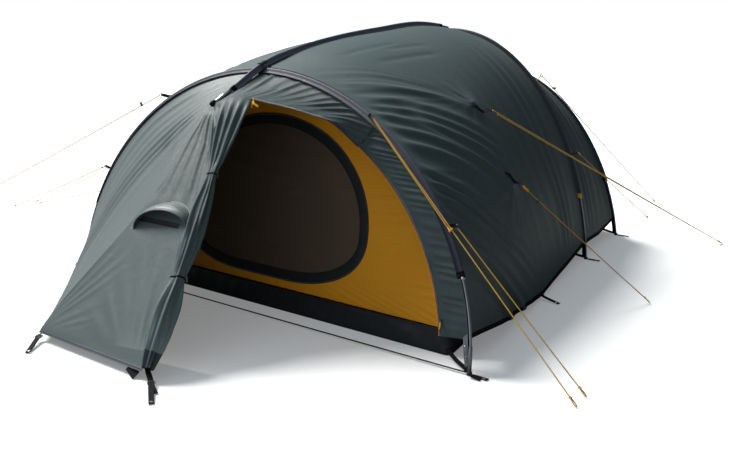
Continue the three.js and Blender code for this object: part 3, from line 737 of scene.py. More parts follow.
def skin_height(s, v):
    """How far the flysheet stands out from its even shape: folds, puckers and slack."""
    v = np.where(v > 0.5, 1 - v, v)  # both sides are pulled the same way
    h = 0.004 * noise(3, s * 3.1, v * 9) * smooth(s, 0, 0.1)
    places = {k: skin_place(p) for k, p in GUY_OUTS.items()}
    # long folds that run down and back from the front sleeve
    start = v + 0.34 * s
    strong = between(s, 0.0, 0.06, 0.26, 0.54) * between(start, 0.06, 0.12, 0.38, 0.45)
    h = h + 0.020 * strong * (folds(11, start * 36 + 0.6 * noise(12, s * 2.5, v * 3),
        0.6) - 0.45) * (0.8 + 0.4 * noise(13, start * 9))
    h = h + 0.007 * fan(s, v, places["upper"], 14, 34, 0.30, 0.44)
    h = h + 0.007 * fan(s, v, places["lower"], 15, 30, 0.16, 0.34)
    for k, p in places.items():
        ds, dv = (s - p[0]) * 1.79, (v - p[1]) * 3.4
        d = np.sqrt(ds ** 2 + dv ** 2)
        turn = np.arctan2(dv, ds)
        front = 0.5 - 0.5 * np.cos(turn)
        h = h + 0.020 * np.exp(-d / 0.050) + 0.005 * front * np.exp(-d / 0.10) * np.cos(turn * 9 + 2
            * noise(7, turn * 2))
    hang = between(s, 0.42, 0.62, 0.92, 1.0) * between(v, 0.0, 0.08, 0.26, 0.42)
    h = h + 0.011 * hang * (folds(21, s * 15 + 1.5 * v + 0.8 * noise(22, v * 6, s * 3),
        0.45) - 0.4) * (0.65 + 0.5 * noise(24, s * 5, v * 5))
    hang = between(s, 1.0, 1.1, 1.85, 2.0) * between(v, 0.0, 0.08, 0.30, 0.46)
    h = h + 0.010 * hang * (folds(25, s * 6.5 + 1.2 * v + 0.5 * noise(26, v * 6, s * 3), 0.45) - 0.4)
    # a few long creases across the roof
    for k, (sa, va, slope, long) in enumerate([(0.26, 0.385, -0.05, 0.30), (0.20, 0.43, -0.035, 0.26),
            (0.36, 0.41, -0.06, 0.22)]):
        off = (v - va) - slope * (s - sa)
        h = h - 0.0035 * np.exp(-(off / 0.006) ** 2) * between(s, sa - 0.05, sa + 0.03, sa + long - 0.08,
            sa + long)
    return h


def end_rows(top, steps):
    """The rows of the end panel, from the end hoop's row down to its pegged-out hem."""
    half = abs(top[0, 0])
    middle = (1 - (top[:, 0] / half) ** 2)[None, :]
    t = np.linspace(0, 1, steps + 1)[1:, None]
    hem = np.stack([top[:, 0] * 0.985, top[0, 1] + 0.045 + 0.125 * middle[0],
        0.095 + (0.025 - 0.095) * middle[0]], -1)
    p = top[None] + (hem - top)[None] * t[..., None]
    p[..., 1] += 0.020 * np.sin(math.pi * t) * middle
    return p, t


def flysheet():
    columns = 330
    stations = np.concatenate([np.linspace(0, 1, 171), np.linspace(1, 2, 62)[1:]])
    s, v = np.meshgrid(stations, np.linspace(0, 1, columns), indexing="ij")
    body = on_skin(s, v)
    tail, t = end_rows(body[-1], 62)
    p = np.concatenate([body, tail])
    across = np.linspace(0, 1, columns)[None, :]
    h = skin_height(s, v)
    h_tail = 0.006 * between(t, 0.0, 0.2, 0.8, 1.0) * (folds(31, across * 12 + 0.3 * t,
        0.5) - 0.4) * between(across, 0.0, 0.15, 0.85, 1.0)
    n = grid_normals(p)
    n *= np.sign((n[100, 100] * (p[100, 100] - np.array([0, p[100, 100, 1], 0]))).sum())
    p = p + n * np.concatenate([h, h_tail])[..., None]
    p[..., 2] = np.maximum(p[..., 2], 0.004)
    sheet = grid_mesh("flysheet", p, FLY, thick=0.0008, flip=True)
    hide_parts("flysheet_body")
    return p


def strip_on(name, rows, material, thick=0.0009, lift=0.0006, flip=False):
    """A flat tape over a grid of points, lifted a little off what it is sewn to."""
    n = grid_normals(rows)
    obj = grid_mesh(name, rows + n * lift, material, thick=thick, flip=flip)
    return obj


# ---- poles and sleeves ----------------------------------------------------------------------------

def hoop_line(h, z, count):
    low = angle_at(h, z)
    return on_hoop(h, np.linspace(low, math.pi - low, count))


def channel(gather, seed, along):
    """A pole sleeve's section: a channel of cloth over the pole with a sewn edge on each side."""
    side = np.array([-26, -25, -19, -14, -10.5, -9.6, -7.2, -3.8, 0, 3.8, 7.2, 9.6, 10.5, 14, 19, 25,
        26]) * MM
    out = np.array([-12.2, -11.2, -10.6, -7, -1.5, 2.8, 6.9, 9.2, 10.0, 9.2, 6.9, 2.8, -1.5, -7, -10.6,
        -11.2, -12.2]) * MM
    pucker = folds(seed, along[:, None] / 0.017 + 0.5 * np.sign(side) , 0.5) - 0.4
    where = np.exp(-((np.abs(side) - 0.016) / 0.007) ** 2)
    profile = np.stack([np.broadcast_to(side, (len(along), len(side))), out + gather * pucker * where], -1)
    return profile


def sleeve(name, line, seed, node, up):
    along = np.concatenate([[0], np.cumsum(np.linalg.norm(np.diff(line, axis=0), axis=1))])
    narrow = 0.72
    profile = channel(0.0022, seed, along) * (narrow, 1)
    # the rear and end hoops' sleeves take a darker copy of the cloth (painted shade), and the ridge's a lighter one
    # (painted light)
    cloth_of = {"front_hoop": SLEEVE, "ridge": PAINTED_LIGHT_SLEEVE}.get(name, PAINTED_SHADE_SLEEVE)
    obj = swept("sleeve_" + name, line, profile, cloth_of, up, closed=False, thick=0.0008)
    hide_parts(node)
    for side, mark in ((-1, "a"), (1, "b")):
        x = side * 0.0225 * narrow
        edge = np.array([(x - 0.0011, -0.0100), (x + 0.0011, -0.0100), (x, -0.0092)])
        seam = swept(f"seam_{name}_{mark}", line, edge, cloth_of, up)
    # turned hems at both mouths
    ups = np.broadcast_to(up, line.shape)
    for end, few in (("start", slice(0, 5)), ("end", slice(-5, None))):
        ring = swept(f"sleeve_mouth_{name}_{end}", line[few], channel(0, seed, np.zeros(5)) * (1.06 * narrow,
            1.06),
                     ORANGE if name == "rear_hoop" else WEBBING, ups[few], closed=False, thick=0.0012)
    return obj


def pole(name, line, node, collars, up=UP):
    """A jointed tube with its ferrule collars."""
    line = resample(line, 0.006)
    along = np.concatenate([[0], np.cumsum(np.linalg.norm(np.diff(line, axis=0), axis=1))])
    size = np.full(len(line), 0.97)
    for at in collars:
        size += 0.10 * between(along, at - 0.031, at - 0.028, at + 0.028, at + 0.031)
    obj = swept("pole_" + name, line, round_profile(0.0055, 14), POLE, up, scale=size)
    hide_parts(node)
    return obj


def ridge_line():
    ys = np.array([-0.5, -0.26, 0.06, 0.43, 0.58, 0.688])
    zs = ridge_top(ys) + SKIN_INSET
    zs[-1] += 0.008
    knots = [(PEAK[1], PEAK[2]), (-0.925, 0.977), (-0.734, 1.079), *zip(ys, zs)]
    y, z = (np.array(c) for c in zip(*knots))
    q = np.linspace(0, 1, 240)
    curve = cubic(list(zip(y, z)))
    yy = y[0] + (y[-1] - y[0]) * q
    return np.stack([np.zeros_like(yy), yy, curve(yy)], -1)


def poles_and_sleeves():
    for name, h, seed in (("front_hoop", FRONT, 41), ("rear_hoop", REAR, 43), ("end_hoop", END, 45)):
        bare = hoop_line(h, 0.006, 420)
        pole(name, bare, name + "_pole", np.arange(0.35, 3.4, 0.42), up=(0, 1, 0.01))
        covered = resample(hoop_line(h, SLEEVE_END_Z, 600), 0.006)
        centre = np.array([0, h["y"] + 0.3 * h["lean"], 0.3])
        sleeve(name, covered, seed, name + "_sleeve", covered - centre)
    ridge = ridge_line()
    pole("ridge", ridge, "ridge_pole", (0.5, 0.95, 1.4))
    along = np.concatenate([[0], np.cumsum(np.linalg.norm(np.diff(ridge, axis=0), axis=1))])
    share = along / along[-1]
    covered = ridge[(share > 0.065) & (share < 0.965)]
    sleeve("ridge", resample(covered, 0.006), 47, "ridge_sleeve", UP)


# ---- vestibule ------------------------------------------------------------------------------------

PANEL_RUN, PANEL_RISE = 0.653, 0.896


def panel_y(z):
    return VEST["y"] + (z - VEST["hem"]) * PANEL_RUN / PANEL_RISE


PANEL_OUT = np.array([0, -PANEL_RISE, PANEL_RUN]) / math.hypot(PANEL_RUN, PANEL_RISE)


def side_panel():
    """The pegged-down left side, as threads from the front hoop to the crease."""
    low = angle_at(FRONT, 0.062)
    t = np.linspace(0, 1, 200)
    start = on_hoop(FRONT, (math.pi - low) + (math.pi / 2 - math.pi + low) * t, SKIN_INSET)
    start[:, 1] -= FLY_START * 0.5
    z = VEST["hem"] + (PEAK[2] - 0.004 - VEST["hem"]) * t ** 0.9
    stop = np.stack([(crease_x(np.minimum(z, 0.905)) + 0.006) * (1 - smooth(t, 0.97, 1)),
        panel_y(z) + 0.0025, z], -1)
    w = np.linspace(0, 1, 130)
    p = start[:, None] + (stop - start)[:, None] * w[None, :, None]
    tt, ww = t[:, None], w[None, :]
    h = 0.009 * between(tt, -0.1, 0.08, 0.62, 0.95) * between(ww, 0.0, 0.07, 0.50,
        0.80) * (folds(51, ww * 11 + 0.8 * tt + 0.3 * noise(52, tt * 4), 0.7) - 0.4)
    h = h + 0.005 * between(tt, 0.55, 0.7, 0.85, 0.97) * between(ww, 0.45, 0.6, 0.9,
        1.0) * (folds(53, ww * 16 + tt * 9, 0.6) - 0.4)
    h = h + 0.0035 * noise(54, tt * 7, ww * 4) * between(ww, 0, 0.1, 0.9, 1)
    h = h - 0.010 * between(tt, 0.02, 0.25, 0.6, 0.95) * np.sin(math.pi * ww)
    n = grid_normals(p)
    n *= np.sign(-n[60, 60, 0])
    p = p + n * h[..., None]
    # the vestibule's side is the lighter flysheet copy: painted light
    obj = grid_mesh("vestibule_side", p, PAINTED_LIGHT_FLY, thick=0.0008)
    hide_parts("vestibule_side_panel")
    strip_on("vestibule_side_hem", p[:3], SLEEVE, thick=0.0012, lift=0.001)
    return p


ROOF_END = 0.985
ROOF_EDGE = [(0.000, -1.027, 0.924), (0.080, -1.003, 0.950), (0.154, -0.980, 0.957), (0.261, -0.950, 0.941),
             (0.416, -0.893, 0.904), (0.520, -0.842, 0.860)]


def roof_edge(count):
    """The free edge over the doorway, from the peak back to the edge strip in the hoop's plane."""
    base = np.array([0, FRONT["y"], 0])
    last = base + (on_hoop(FRONT, ROOF_END) - base) * 0.885
    pts = np.array(ROOF_EDGE + [tuple(last)])
    x = np.linspace(0, last[0], count)
    return np.stack([x, cubic(list(zip(pts[:, 0], pts[:, 1])))(x),
        cubic(list(zip(pts[:, 0], pts[:, 2])))(x)], -1)


def roof_strip():
    """The roof between the front hoop and the doorway's top edge, pleated where the hoop pulls it."""
    rows, cols = 300, 90
    r = np.linspace(0, 1, rows)
    start = on_hoop(FRONT, math.pi / 2 + (ROOF_END - 0.008 - math.pi / 2) * r, SKIN_INSET)
    start[:, 1] -= FLY_START * 0.5
    stop = roof_edge(rows)
    w = np.linspace(0, 1, cols)
    p = start[:, None] + (stop - start)[:, None] * w[None, :, None]
    rr, ww = r[:, None], w[None, :]
    q = rr + 0.42 * rr * ww - 0.04 * ww
    pull = between(ww, 0.0, 0.06, 0.30, 0.85) * between(rr, 0.0, 0.08, 0.9, 1.2)
    h = 0.0095 * pull * (folds(55, q * 10, 0.75) - 0.5)
    h = h + 0.004 * between(ww, 0.3, 0.5, 0.9, 1.0) * (folds(56, q * 7 + 0.4, 0.5) - 0.4)
    h = h - 0.012 * np.sin(math.pi * ww) * between(rr, 0.0, 0.2, 0.8, 1.0)
    n = grid_normals(p)
    n *= np.sign(n[rows // 2, cols // 2, 2])
    p = p + n * h[..., None]
    # drawn in the darker flysheet copy: painted shade
    obj = grid_mesh("roof_strip", p, SHADED_FLY, thick=0.0008)
    edge = resample(stop, 0.004)
    tape = swept("roof_edge_tape", edge, band_profile(0.010, 0.0026), ZIP, np.array([0, -0.8, 0.6]))
    return p


def front_panel():
    z = np.concatenate([np.linspace(VEST["hem"], VENT_WINDOW[0], 62), np.linspace(*VENT_WINDOW, 5)[1:],
        np.linspace(VENT_WINDOW[1], PANEL_TOP, 60)[1:]])
    left = crease_x(z)
    right = 0.275 + (0.080 - 0.275) * (z - VEST["hem"]) / (0.902 - VEST["hem"])
    near = between(z, 0.40, *VENT_WINDOW, 0.57)
    a = left + (right - left) * 0.127
    b = left + (right - left) * 0.914
    a, b = a + (-0.098 - a) * near, b + (0.150 - b) * near
    cols = [left[:, None] + (a - left)[:, None] * np.linspace(0, 1, 9)[None, :-1],
            a[:, None] + (b - a)[:, None] * np.linspace(0, 1, 50)[None, :-1],
            b[:, None] + (right - b)[:, None] * np.linspace(0, 1, 9)[None]]
    fan_left = 0.002 + (0.924 - z) / 0.252 * 0.158 + 0.026
    tucked = np.minimum(right + 0.034, fan_left)
    right = np.minimum(right, tucked - 0.012)
    cols[-1] = b[:, None] + (right - b)[:, None] * np.linspace(0, 1, 9)[None]
    hidden = right[:, None] + (tucked - right)[:, None] * np.array([[0.3, 0.65, 1.0]])
    x = np.concatenate(cols + [hidden], 1)
    zz = np.broadcast_to(z[:, None], x.shape)
    u = (x - left[:, None]) / (right - left)[:, None]
    h = 0.004 * noise(61, x * 6, zz * 5)
    # folds that fall from the peak to the hood, and fan up from the two lower corners
    h = h + 0.007 * between(zz, 0.54, 0.62, 0.86, 0.91) * (folds(62, u * 3.4 + zz * 3, 0.6) - 0.4)
    h = h + 0.006 * between(zz, 0.06, 0.16, 0.30, 0.43) * (folds(63, np.arctan2(x - 0.30, zz + 0.05) * 4.6,
        0.7) - 0.4) * smooth(u, 0.25, 0.6)
    h = h + 0.0035 * between(zz, 0.05, 0.12, 0.30, 0.43) * (folds(64, np.arctan2(x + 0.40, zz - 0.02) * 7,
        0.6) - 0.4) * (1 - smooth(u, 0.15, 0.5))
    h = h * between(zz, 0.032, 0.06, 0.88, 0.902) * (1 - near[:, None] * 0.8)
    p = np.stack([x, panel_y(zz), zz], -1) + PANEL_OUT * h[..., None]
    # the vestibule's front is the lighter flysheet copy: painted light
    obj = grid_mesh("vestibule_front", p, PAINTED_LIGHT_FLY, thick=0.0008)
    hem = swept("vestibule_front_hem", resample(p[1], 0.006), band_profile(0.009, 0.0020), SLEEVE, PANEL_OUT)
    cut_out(obj, lambda c: -0.0975 < c.x < 0.1495 and 0.4782 < c.z < 0.4958)
    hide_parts("vestibule_front_panel")
    return p


def panel_point(x, z, off=0.0):
    return np.stack([x, panel_y(z), z], -1) + PANEL_OUT * np.asarray(off, float)[..., None]


def vent():
    # the net behind the vent, its colour partly the mesh's own dark tone and partly painted shade under the hood
    x = np.linspace(-0.112, 0.164, 50)
    z = np.linspace(0.422, 0.512, 18)
    xx, zz = np.meshgrid(x, z)
    p = panel_point(xx, zz, -0.0022 - 0.006 * np.sin(math.pi * (xx + 0.112) / 0.276)
        * np.sin(math.pi * (zz - 0.422) / 0.090))
    net = grid_mesh("vent_net", p, PAINTED_SHADE_NET, thick=0.0006)
    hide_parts("vent_mesh")
    # the hood: an arched brim whose ends run down to the panel
    u = np.linspace(0, 1, 81)
    w = np.linspace(0, 1, 30)
    uu, ww = np.meshgrid(u, w)
    arch = np.sin(math.pi * uu)
    x = -0.112 + 0.308 * uu + (0.5 - uu) * 0.020 * ww
    foot_z = 0.446 + 0.042 * uu
    seam_z, rim_z = foot_z + 0.092 * arch ** 0.42, foot_z + 0.046 * arch ** 0.40
    off = 0.050 * arch ** 0.45 * np.sin(ww * math.pi / 2) ** 1.2
    z = seam_z + (rim_z - seam_z) * ww ** 1.3
    off = off + 0.0035 * arch * np.exp(-((ww - 0.72) / 0.03) ** 2) * -1 + 0.003 * noise(71, uu * 7,
        ww * 2) * arch * ww * (1 - ww)
    p = panel_point(x, z, off + 0.0015)
    # the hood is the lighter flysheet copy: painted light
    hood = grid_mesh("hood_brim", p, PAINTED_LIGHT_FLY, body=None, thick=0.0016)
    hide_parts("vent_hood")
    rim = swept("hood_rim", resample(p[-1], 0.004), band_profile(0.007, 0.0018), PAINTED_LIGHT_FLY, PANEL_OUT,
        body=None)
    line = resample(p[0], 0.004)
    seam = swept("hood_seam", line, band_profile(0.008, 0.0014), PAINTED_LIGHT_FLY, PANEL_OUT)
    for piece in (hood, rim):
        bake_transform(piece)


# ---- the door gathered at the peak ------------------------------------------------------------------

ROLL_TOP, ROLL_BOTTOM = np.array([0.118, -1.012, 0.915]), np.array([0.336, -1.670, 0.046])
ROLL = [(0, 0.024), (0.12, 0.026), (0.28, 0.019), (0.42, 0.034), (0.55, 0.036), (0.68, 0.027), (0.79, 0.043),
    (0.90, 0.040), (1, 0.022)]
FAN = (0.004, 0.180)
TIES = (0.28, 0.68)


def roll_place(t, turn, out=1.0):
    """A point of the gathered door: t runs down it and turn round it."""
    axis = ROLL_BOTTOM - ROLL_TOP
    axis = axis / np.linalg.norm(axis)
    side = np.cross(axis, UP)
    side /= np.linalg.norm(side)
    front = np.cross(side, axis)
    radius = cubic(ROLL)(t)
    tight = sum(np.exp(-((t - q) / 0.035) ** 2) for q in TIES)
    sway = 0.006 * np.sin(t * 9)
    phase = 0.9 * noise(81, t * 3) + 0.5 * noise(82, t * 9) * (1 - np.clip(tight, 0, 1))
    pleat = (np.cos(6 * turn + phase) * 0.16 + np.cos(10 * turn - 2 * phase + 1) * 0.10
        + np.cos(15 * turn + 3) * 0.05)
    grow = smooth(t, 0, 0.08) * (1 - 0.45 * np.clip(tight, 0, 1))
    r = radius * out * (1 + pleat * grow)
    flat = 0.80 + 0.1 * noise(83, t * 4)
    c, s = np.cos(turn), np.sin(turn)
    tied = (ROLL_TOP + axis * (t * np.linalg.norm(ROLL_BOTTOM - ROLL_TOP))[..., None]
            + side * (r * c)[..., None] + front * ((r * s) * flat + sway)[..., None])
    # above the upper tie it fans out to the roof's edge
    share = (1 - c) / 2
    wave = 0.010 * np.sin(share * 26 + 1.0) * smooth(t, 0, 0.1)
    hem = roof_edge(160)
    x = FAN[0] + (FAN[1] - FAN[0]) * share
    top = np.stack([x, np.interp(x, hem[:, 0], hem[:, 1]) + 0.006, np.interp(x, hem[:, 0],
        hem[:, 2]) + 0.003], -1)
    spread = top + front * (0.006 * s + wave)[..., None]
    heart = ROLL_TOP + axis * (TIES[0] * np.linalg.norm(ROLL_BOTTOM - ROLL_TOP))
    pull = np.clip(t / TIES[0], 0, 1)
    fanned = spread + (heart - spread) * pull[..., None] + (side * (r * c)[...,
        None] + front * (r * s * flat)[..., None]) * pull[..., None]
    turn_in = smooth(t, TIES[0] * 0.80, TIES[0] * 1.02)[..., None]
    return fanned * (1 - turn_in) + tied * turn_in


def gathered_door():
    t, turn = np.meshgrid(np.linspace(0, 1, 200), np.linspace(0, 2 * math.pi, 120, endpoint=False),
        indexing="ij")
    p = roll_place(t, turn)
    p[..., 2] = np.maximum(p[..., 2], 0.012)
    door = grid_mesh("gathered_door", p, FLY, close=(False, True), thick=0.0012, flip=True)
    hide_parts("rolled_door")
    # inner leaves of the bundle close its open end
    for k, (share, lift) in enumerate(((0.72, 0.004), (0.42, 0.010))):
        t2 = np.linspace(0.80, 1, 30)
        tt, aa = np.meshgrid(t2, np.linspace(0, 2 * math.pi, 80, endpoint=False), indexing="ij")
        q = roll_place(tt - 0.004 * k, aa + 0.4 * k, share)
        q[..., 2] = np.maximum(q[..., 2] + lift, 0.014)
        leaf = grid_mesh(f"door_leaf_{k}", q, FLY, close=(False, True), thick=0.0012, flip=True)
    for name, q in (("upper", TIES[0]), ("lower", TIES[1])):
        a = np.linspace(0, 2 * math.pi, 61)
        line = roll_place(np.full(61, q) + 0.002 * np.sin(a * 2), a, 1.10)
        band = swept("tie_" + name, line, band_profile(0.007, 0.0024), WEBBING, line - line.mean(0))
        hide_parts("door_tie_" + name)
        at = line[30] + (line[30] - line.mean(0)) * 0.12
        toggle = tube("tie_toggle_" + name, [at - UP * 0.013, at - UP * 0.006, at + UP * 0.006,
            at + UP * 0.013], 0.007, HARDWARE, up=(1, 0, 0))


# ---- doorway --------------------------------------------------------------------------------------

def edge_strip():
    """The fixed edge beside the doorway, in the front hoop's plane, with its zip."""
    low, high = angle_at(FRONT, 0.128), ROOF_END + 0.006
    a = np.linspace(low, high, 240)
    share = np.linspace(0.992, 0.885, 28)
    hoop = on_hoop(FRONT, a)
    base = np.array([0, FRONT["y"], 0])
    p = base + (hoop - base)[:, None] * share[None, :, None]
    out = np.array([0, -math.cos(WALL_LEAN), math.sin(WALL_LEAN)])
    q = np.linspace(0, 1, 28)[None, :]
    z = p[..., 2]
    upper = smooth(z, 0.6, 0.85)
    strong = between(q, 0.0, 0.12, 0.55, 0.95) * between(z, 0.12, 0.2, 1.2, 1.3)
    h = strong * (0.0032 + 0.0026 * upper) * (folds(91,
        (z + 0.18 * p[..., 0] * upper) / 0.033 + 0.25 * noise(92, z * 30), 0.7) - 0.4)
    h = h + 0.002 * noise(93, z * 20, q * 3)
    p = p + out * h[..., None]
    # drawn in the darker flysheet copy: painted shade
    strip = grid_mesh("doorway_edge", p, SHADED_FLY, thick=0.0008)
    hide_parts("doorway_edge_panel")
    edge = base + (hoop - base) * 0.8875
    tape = swept("doorway_zip", resample(edge, 0.004), band_profile(0.010, 0.0026), ZIP, out)
    line = resample(base + (hoop - base) * 0.8838, 0.005)
    piping = tube("doorway_piping", line, 0.0028, ORANGE_TAPE, up=out)


def door_outline(grow, turn):
    """The inner door's outline in its plane at angles round it, as x and height up the plane."""
    slope = 1 / math.cos(WALL_LEAN)
    side = DOOR["half"] + grow
    sill, wide, top = DOOR["sill"] * slope - grow, DOOR["wide"] * slope, DOOR["top"] * slope + grow
    c, s = np.cos(turn), np.sin(turn)
    up = s >= 0
    cx = np.where(up, 0, 0.120)
    power = np.where(up, 2.05, 2.3)
    tall = np.where(up, top - wide, wide - sill)
    e = 2 / power
    x = np.sign(c) * (cx + (side - cx) * np.abs(c) ** e)
    return np.stack([x, wide + tall * np.sign(s) * np.abs(s) ** e], -1)


WALL_UP = np.array([0, math.sin(WALL_LEAN), math.cos(WALL_LEAN)])
WALL_OUT = np.array([0, -math.cos(WALL_LEAN), math.sin(WALL_LEAN)])


def in_wall(xy, off=0.0):
    off = np.asarray(off, float)
    return (np.array([0, WALL_Y, 0]) + xy[..., :1] * np.array([1.0, 0, 0]) + xy[..., 1:] * WALL_UP
            + off[..., None] * WALL_OUT)


def wall_outline(turn):
    """Where a ray from the door's middle meets the front wall's outline."""
    slope = 1 / math.cos(WALL_LEAN)
    h = {**FRONT, "y": 0, "half": FRONT["half"] - 0.135, "high": FRONT["high"] - 0.070}
    low = angle_at(h, 0.102)
    a = np.linspace(low, math.pi - low, 400)
    arc = on_hoop(h, a, 0.006)[:, [0, 2]] * np.array([1, slope])
    base = np.stack([np.linspace(arc[-1, 0], arc[0, 0], 120), np.full(120, arc[0, 1])], -1)
    loop = np.concatenate([arc, base[1:-1]])
    centre = np.array([0, DOOR["wide"] * slope])
    angles = np.unwrap(np.arctan2(loop[:, 1] - centre[1], loop[:, 0] - centre[0]))
    order = np.argsort(np.mod(angles, 2 * math.pi))
    ang, pts = np.mod(angles, 2 * math.pi)[order], loop[order]
    ang = np.concatenate([ang - 2 * math.pi, ang, ang + 2 * math.pi])
    pts = np.concatenate([pts, pts, pts])
    return np.stack([np.interp(turn, ang, pts[:, k]) for k in (0, 1)], -1)


def front_wall():
    count = 420
    turn = np.linspace(0, 2 * math.pi, count, endpoint=False)
    inner = door_outline(0.0012, turn)
    centre = np.array([0, DOOR["wide"] / math.cos(WALL_LEAN)])
    real = np.mod(np.arctan2(inner[:, 1] - centre[1], inner[:, 0] - centre[0]), 2 * math.pi)
    outer = wall_outline(real)
    t = np.linspace(0, 1, 46)[None, :, None]
    xy = inner[:, None] + (outer - inner)[:, None] * t
    x, z = xy[..., 0], xy[..., 1]
    right = smooth(np.abs(x), 0.50, 0.68)
    mid = between(z, 0.16, 0.26, 0.62, 0.80)
    h = 0.0055 * right * mid * (folds(101, (z - 0.10 * np.abs(x)) / 0.038 + 0.3 * noise(102, x * 6),
        0.6) - 0.4)
    h = h + 0.003 * noise(103, x * 5, z * 6)
    low = 1 - smooth(z, 0.13, 0.24)
    h = h + 0.004 * low * (folds(104, (x * 0.5 + z * 2) / 0.05, 0.6) - 0.4) * smooth(np.abs(x), 0.3, 0.5)
    h = h * between(t[..., 0], 0, 0.1, 0.9, 1)
    p = in_wall(xy, 0.0012 + h)
    wall = grid_mesh("inner_wall", p, INNER, close=(True, False), thick=0.0008, uv=xy)
    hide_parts("inner_front_wall")
    # zip round the door, on the wall's side
    line = in_wall(door_outline(0.004, np.linspace(0, 2 * math.pi, 500)), 0.0028)
    coil = swept("inner_zip", line, band_profile(0.008, 0.0024), ZIP, WALL_OUT)


def inner_door():
    count = 420
    turn = np.linspace(0, 2 * math.pi, count, endpoint=False)
    a, b = door_outline(0.0, turn), door_outline(-0.038, turn)
    t = np.linspace(0, 1, 9)[None, :, None]
    xy = a[:, None] + (b - a)[:, None] * t
    arc = np.concatenate([[0], np.cumsum(np.linalg.norm(np.diff(a, axis=0), axis=1))])
    h = 0.0022 + 0.0015 * np.sin(math.pi * t[..., 0]) + 0.0018 * noise(111, arc[:, None] * 14, t[..., 0] * 2)
    band = grid_mesh("door_band", in_wall(xy, h), BAND, body="inner_door", close=(True, False), thick=0.0012,
                     uv=np.stack([np.broadcast_to(arc[:, None], h.shape),
                     0.038 * np.broadcast_to(t[..., 0], h.shape)], -1))
    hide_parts("inner_door_band")
    edge = swept("door_band_edge", in_wall(np.concatenate([b, b[:1]]), 0.0026), band_profile(0.006, 0.0016),
        BAND, WALL_OUT, body="inner_door")
    centre = np.array([0, DOOR["wide"] / math.cos(WALL_LEAN) + 0.04])
    ring = door_outline(-0.036, turn)
    t = np.linspace(1, 0.004, 70)[None, :, None]
    xy = centre + (ring - centre)[:, None] * t
    x, z = xy[..., 0], xy[..., 1]
    h = 0.005 * (folds(113, (z + 0.10 * x + 0.02 * noise(114, x * 4)) / 0.075,
        0.4) - 0.4) + 0.004 * noise(115, x * 3, z * 4)
    h = h * smooth(1 - t[..., 0], 0, 0.12) - 0.001
    net = grid_mesh("door_net", in_wall(xy, h), NET, body="inner_door", close=(True, False), thick=0.0006,
        uv=xy)
    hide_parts("inner_door_mesh")


def zip_slider(name, at, along, out, node, body):
    """A zip's slider with its pull."""
    along, out = (np.asarray(v, float) / np.linalg.norm(v) for v in (along, out))
    side = np.cross(along, out)
    t = np.linspace(-1, 1, 13)
    wide = 0.0045 - 0.0012 * t
    line = at + along * (t * 0.008)[:, None]
    shell = swept(name, line, round_profile(1.0, 14) * np.array([1, 0.55]), HARDWARE, out, body,
                  scale=wide * (0.6 + 0.4 * np.sqrt(np.clip(1 - t ** 2, 0, 1))))
    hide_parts(node)
    bridge = tube(name + "_bridge", [at + along * q * 0.006 + out * (0.0035 + 0.002 * math.cos(q * 1.5))
        for q in np.linspace(-1, 1, 9)], 0.0016, HARDWARE, body, up=side)
    hang = np.array([0, 0, -1.0]) - np.dot([0, 0, -1.0], out) * out
    hang /= np.linalg.norm(hang)
    pull = swept(name + "_pull", [at + out * 0.004 + hang * q for q in np.linspace(0.002, 0.030, 10)],
        band_profile(0.006, 0.0018), CORD, out, body,
                 scale=0.6 + 0.5 * np.sin(np.linspace(0.2, 2.9, 10)))


def zips():
    a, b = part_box("fly_zip_slider")
    at = np.array((a + b) / 2)
    zip_slider("fly_zip_runner", at, (-0.2194, 0.15151, 0.9638), WALL_OUT, "fly_zip_slider", "fly_zip_slider")
    a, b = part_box("inner_zip_slider")
    at = np.array((a + b) / 2)
    zip_slider("inner_zip_runner", at, (1, 0, 0), WALL_OUT, "inner_zip_slider", "inner_zip_slider")


# ---- inner tent and groundsheet ---------------------------------------------------------------------

def inner_tent():
    s = np.concatenate([np.linspace(0.074, 1, 90), np.linspace(1, 1.86, 44)[1:]])
    v = np.linspace(0, 1, 200)
    ss, vv = np.meshgrid(s, v, indexing="ij")
    sec = section(ss)
    low = angle_at(sec, 0.101, 0.083)
    ang = low + (math.pi - 2 * low) * vv
    c, si = np.cos(ang), np.sin(ang)
    power = 2 / sec["bulge"]
    z = (sec["high"] - 0.083) * np.abs(si) ** power
    x = (sec["half"] - 0.135) * np.sign(c) * np.abs(c) ** power
    p = np.stack([x, sec["y"] + sec["lean"] * z / sec["high"], z], -1)
    top = p[-1]
    t = np.linspace(0, 1, 41)[1:, None]
    hem = np.stack([top[:, 0] * 0.985, np.full(len(top), top[0, 1] + 0.050), np.full(len(top), 0.101)], -1)
    tail = top[None] + (hem - top)[None] * t[..., None]
    middle = (1 - (top[:, 0] / abs(top[0, 0])) ** 2)[None]
    tail[..., 1] += 0.020 * np.sin(math.pi * t) * middle
    p = np.concatenate([p, tail])
    n = grid_normals(p)
    row, col = np.meshgrid(np.arange(len(p)) / 90, v, indexing="ij")
    sag = 0.010 * np.sin(np.clip(row, 0, 1) * math.pi * 3) ** 2
    h = -sag * between(col, 0.02, 0.2, 0.8, 0.98) + 0.005 * noise(121, row * 12, col * 18)
    h = h + 0.004 * (folds(122, row * 16 + 2 * np.abs(col - 0.5), 0.5) - 0.4) * between(col, 0.0, 0.1, 0.9,
        1.0)
    n *= np.sign((n[40, 60] * (p[40, 60] - np.array([0, p[40, 60, 1], 0]))).sum())
    h = h * between(row, 0, 0.02, 5, 6)
    obj = grid_mesh("inner_tent", p + n * (h - 0.002)[..., None], INNER, thick=0.0008, flip=True)
    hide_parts("inner_tent_body")


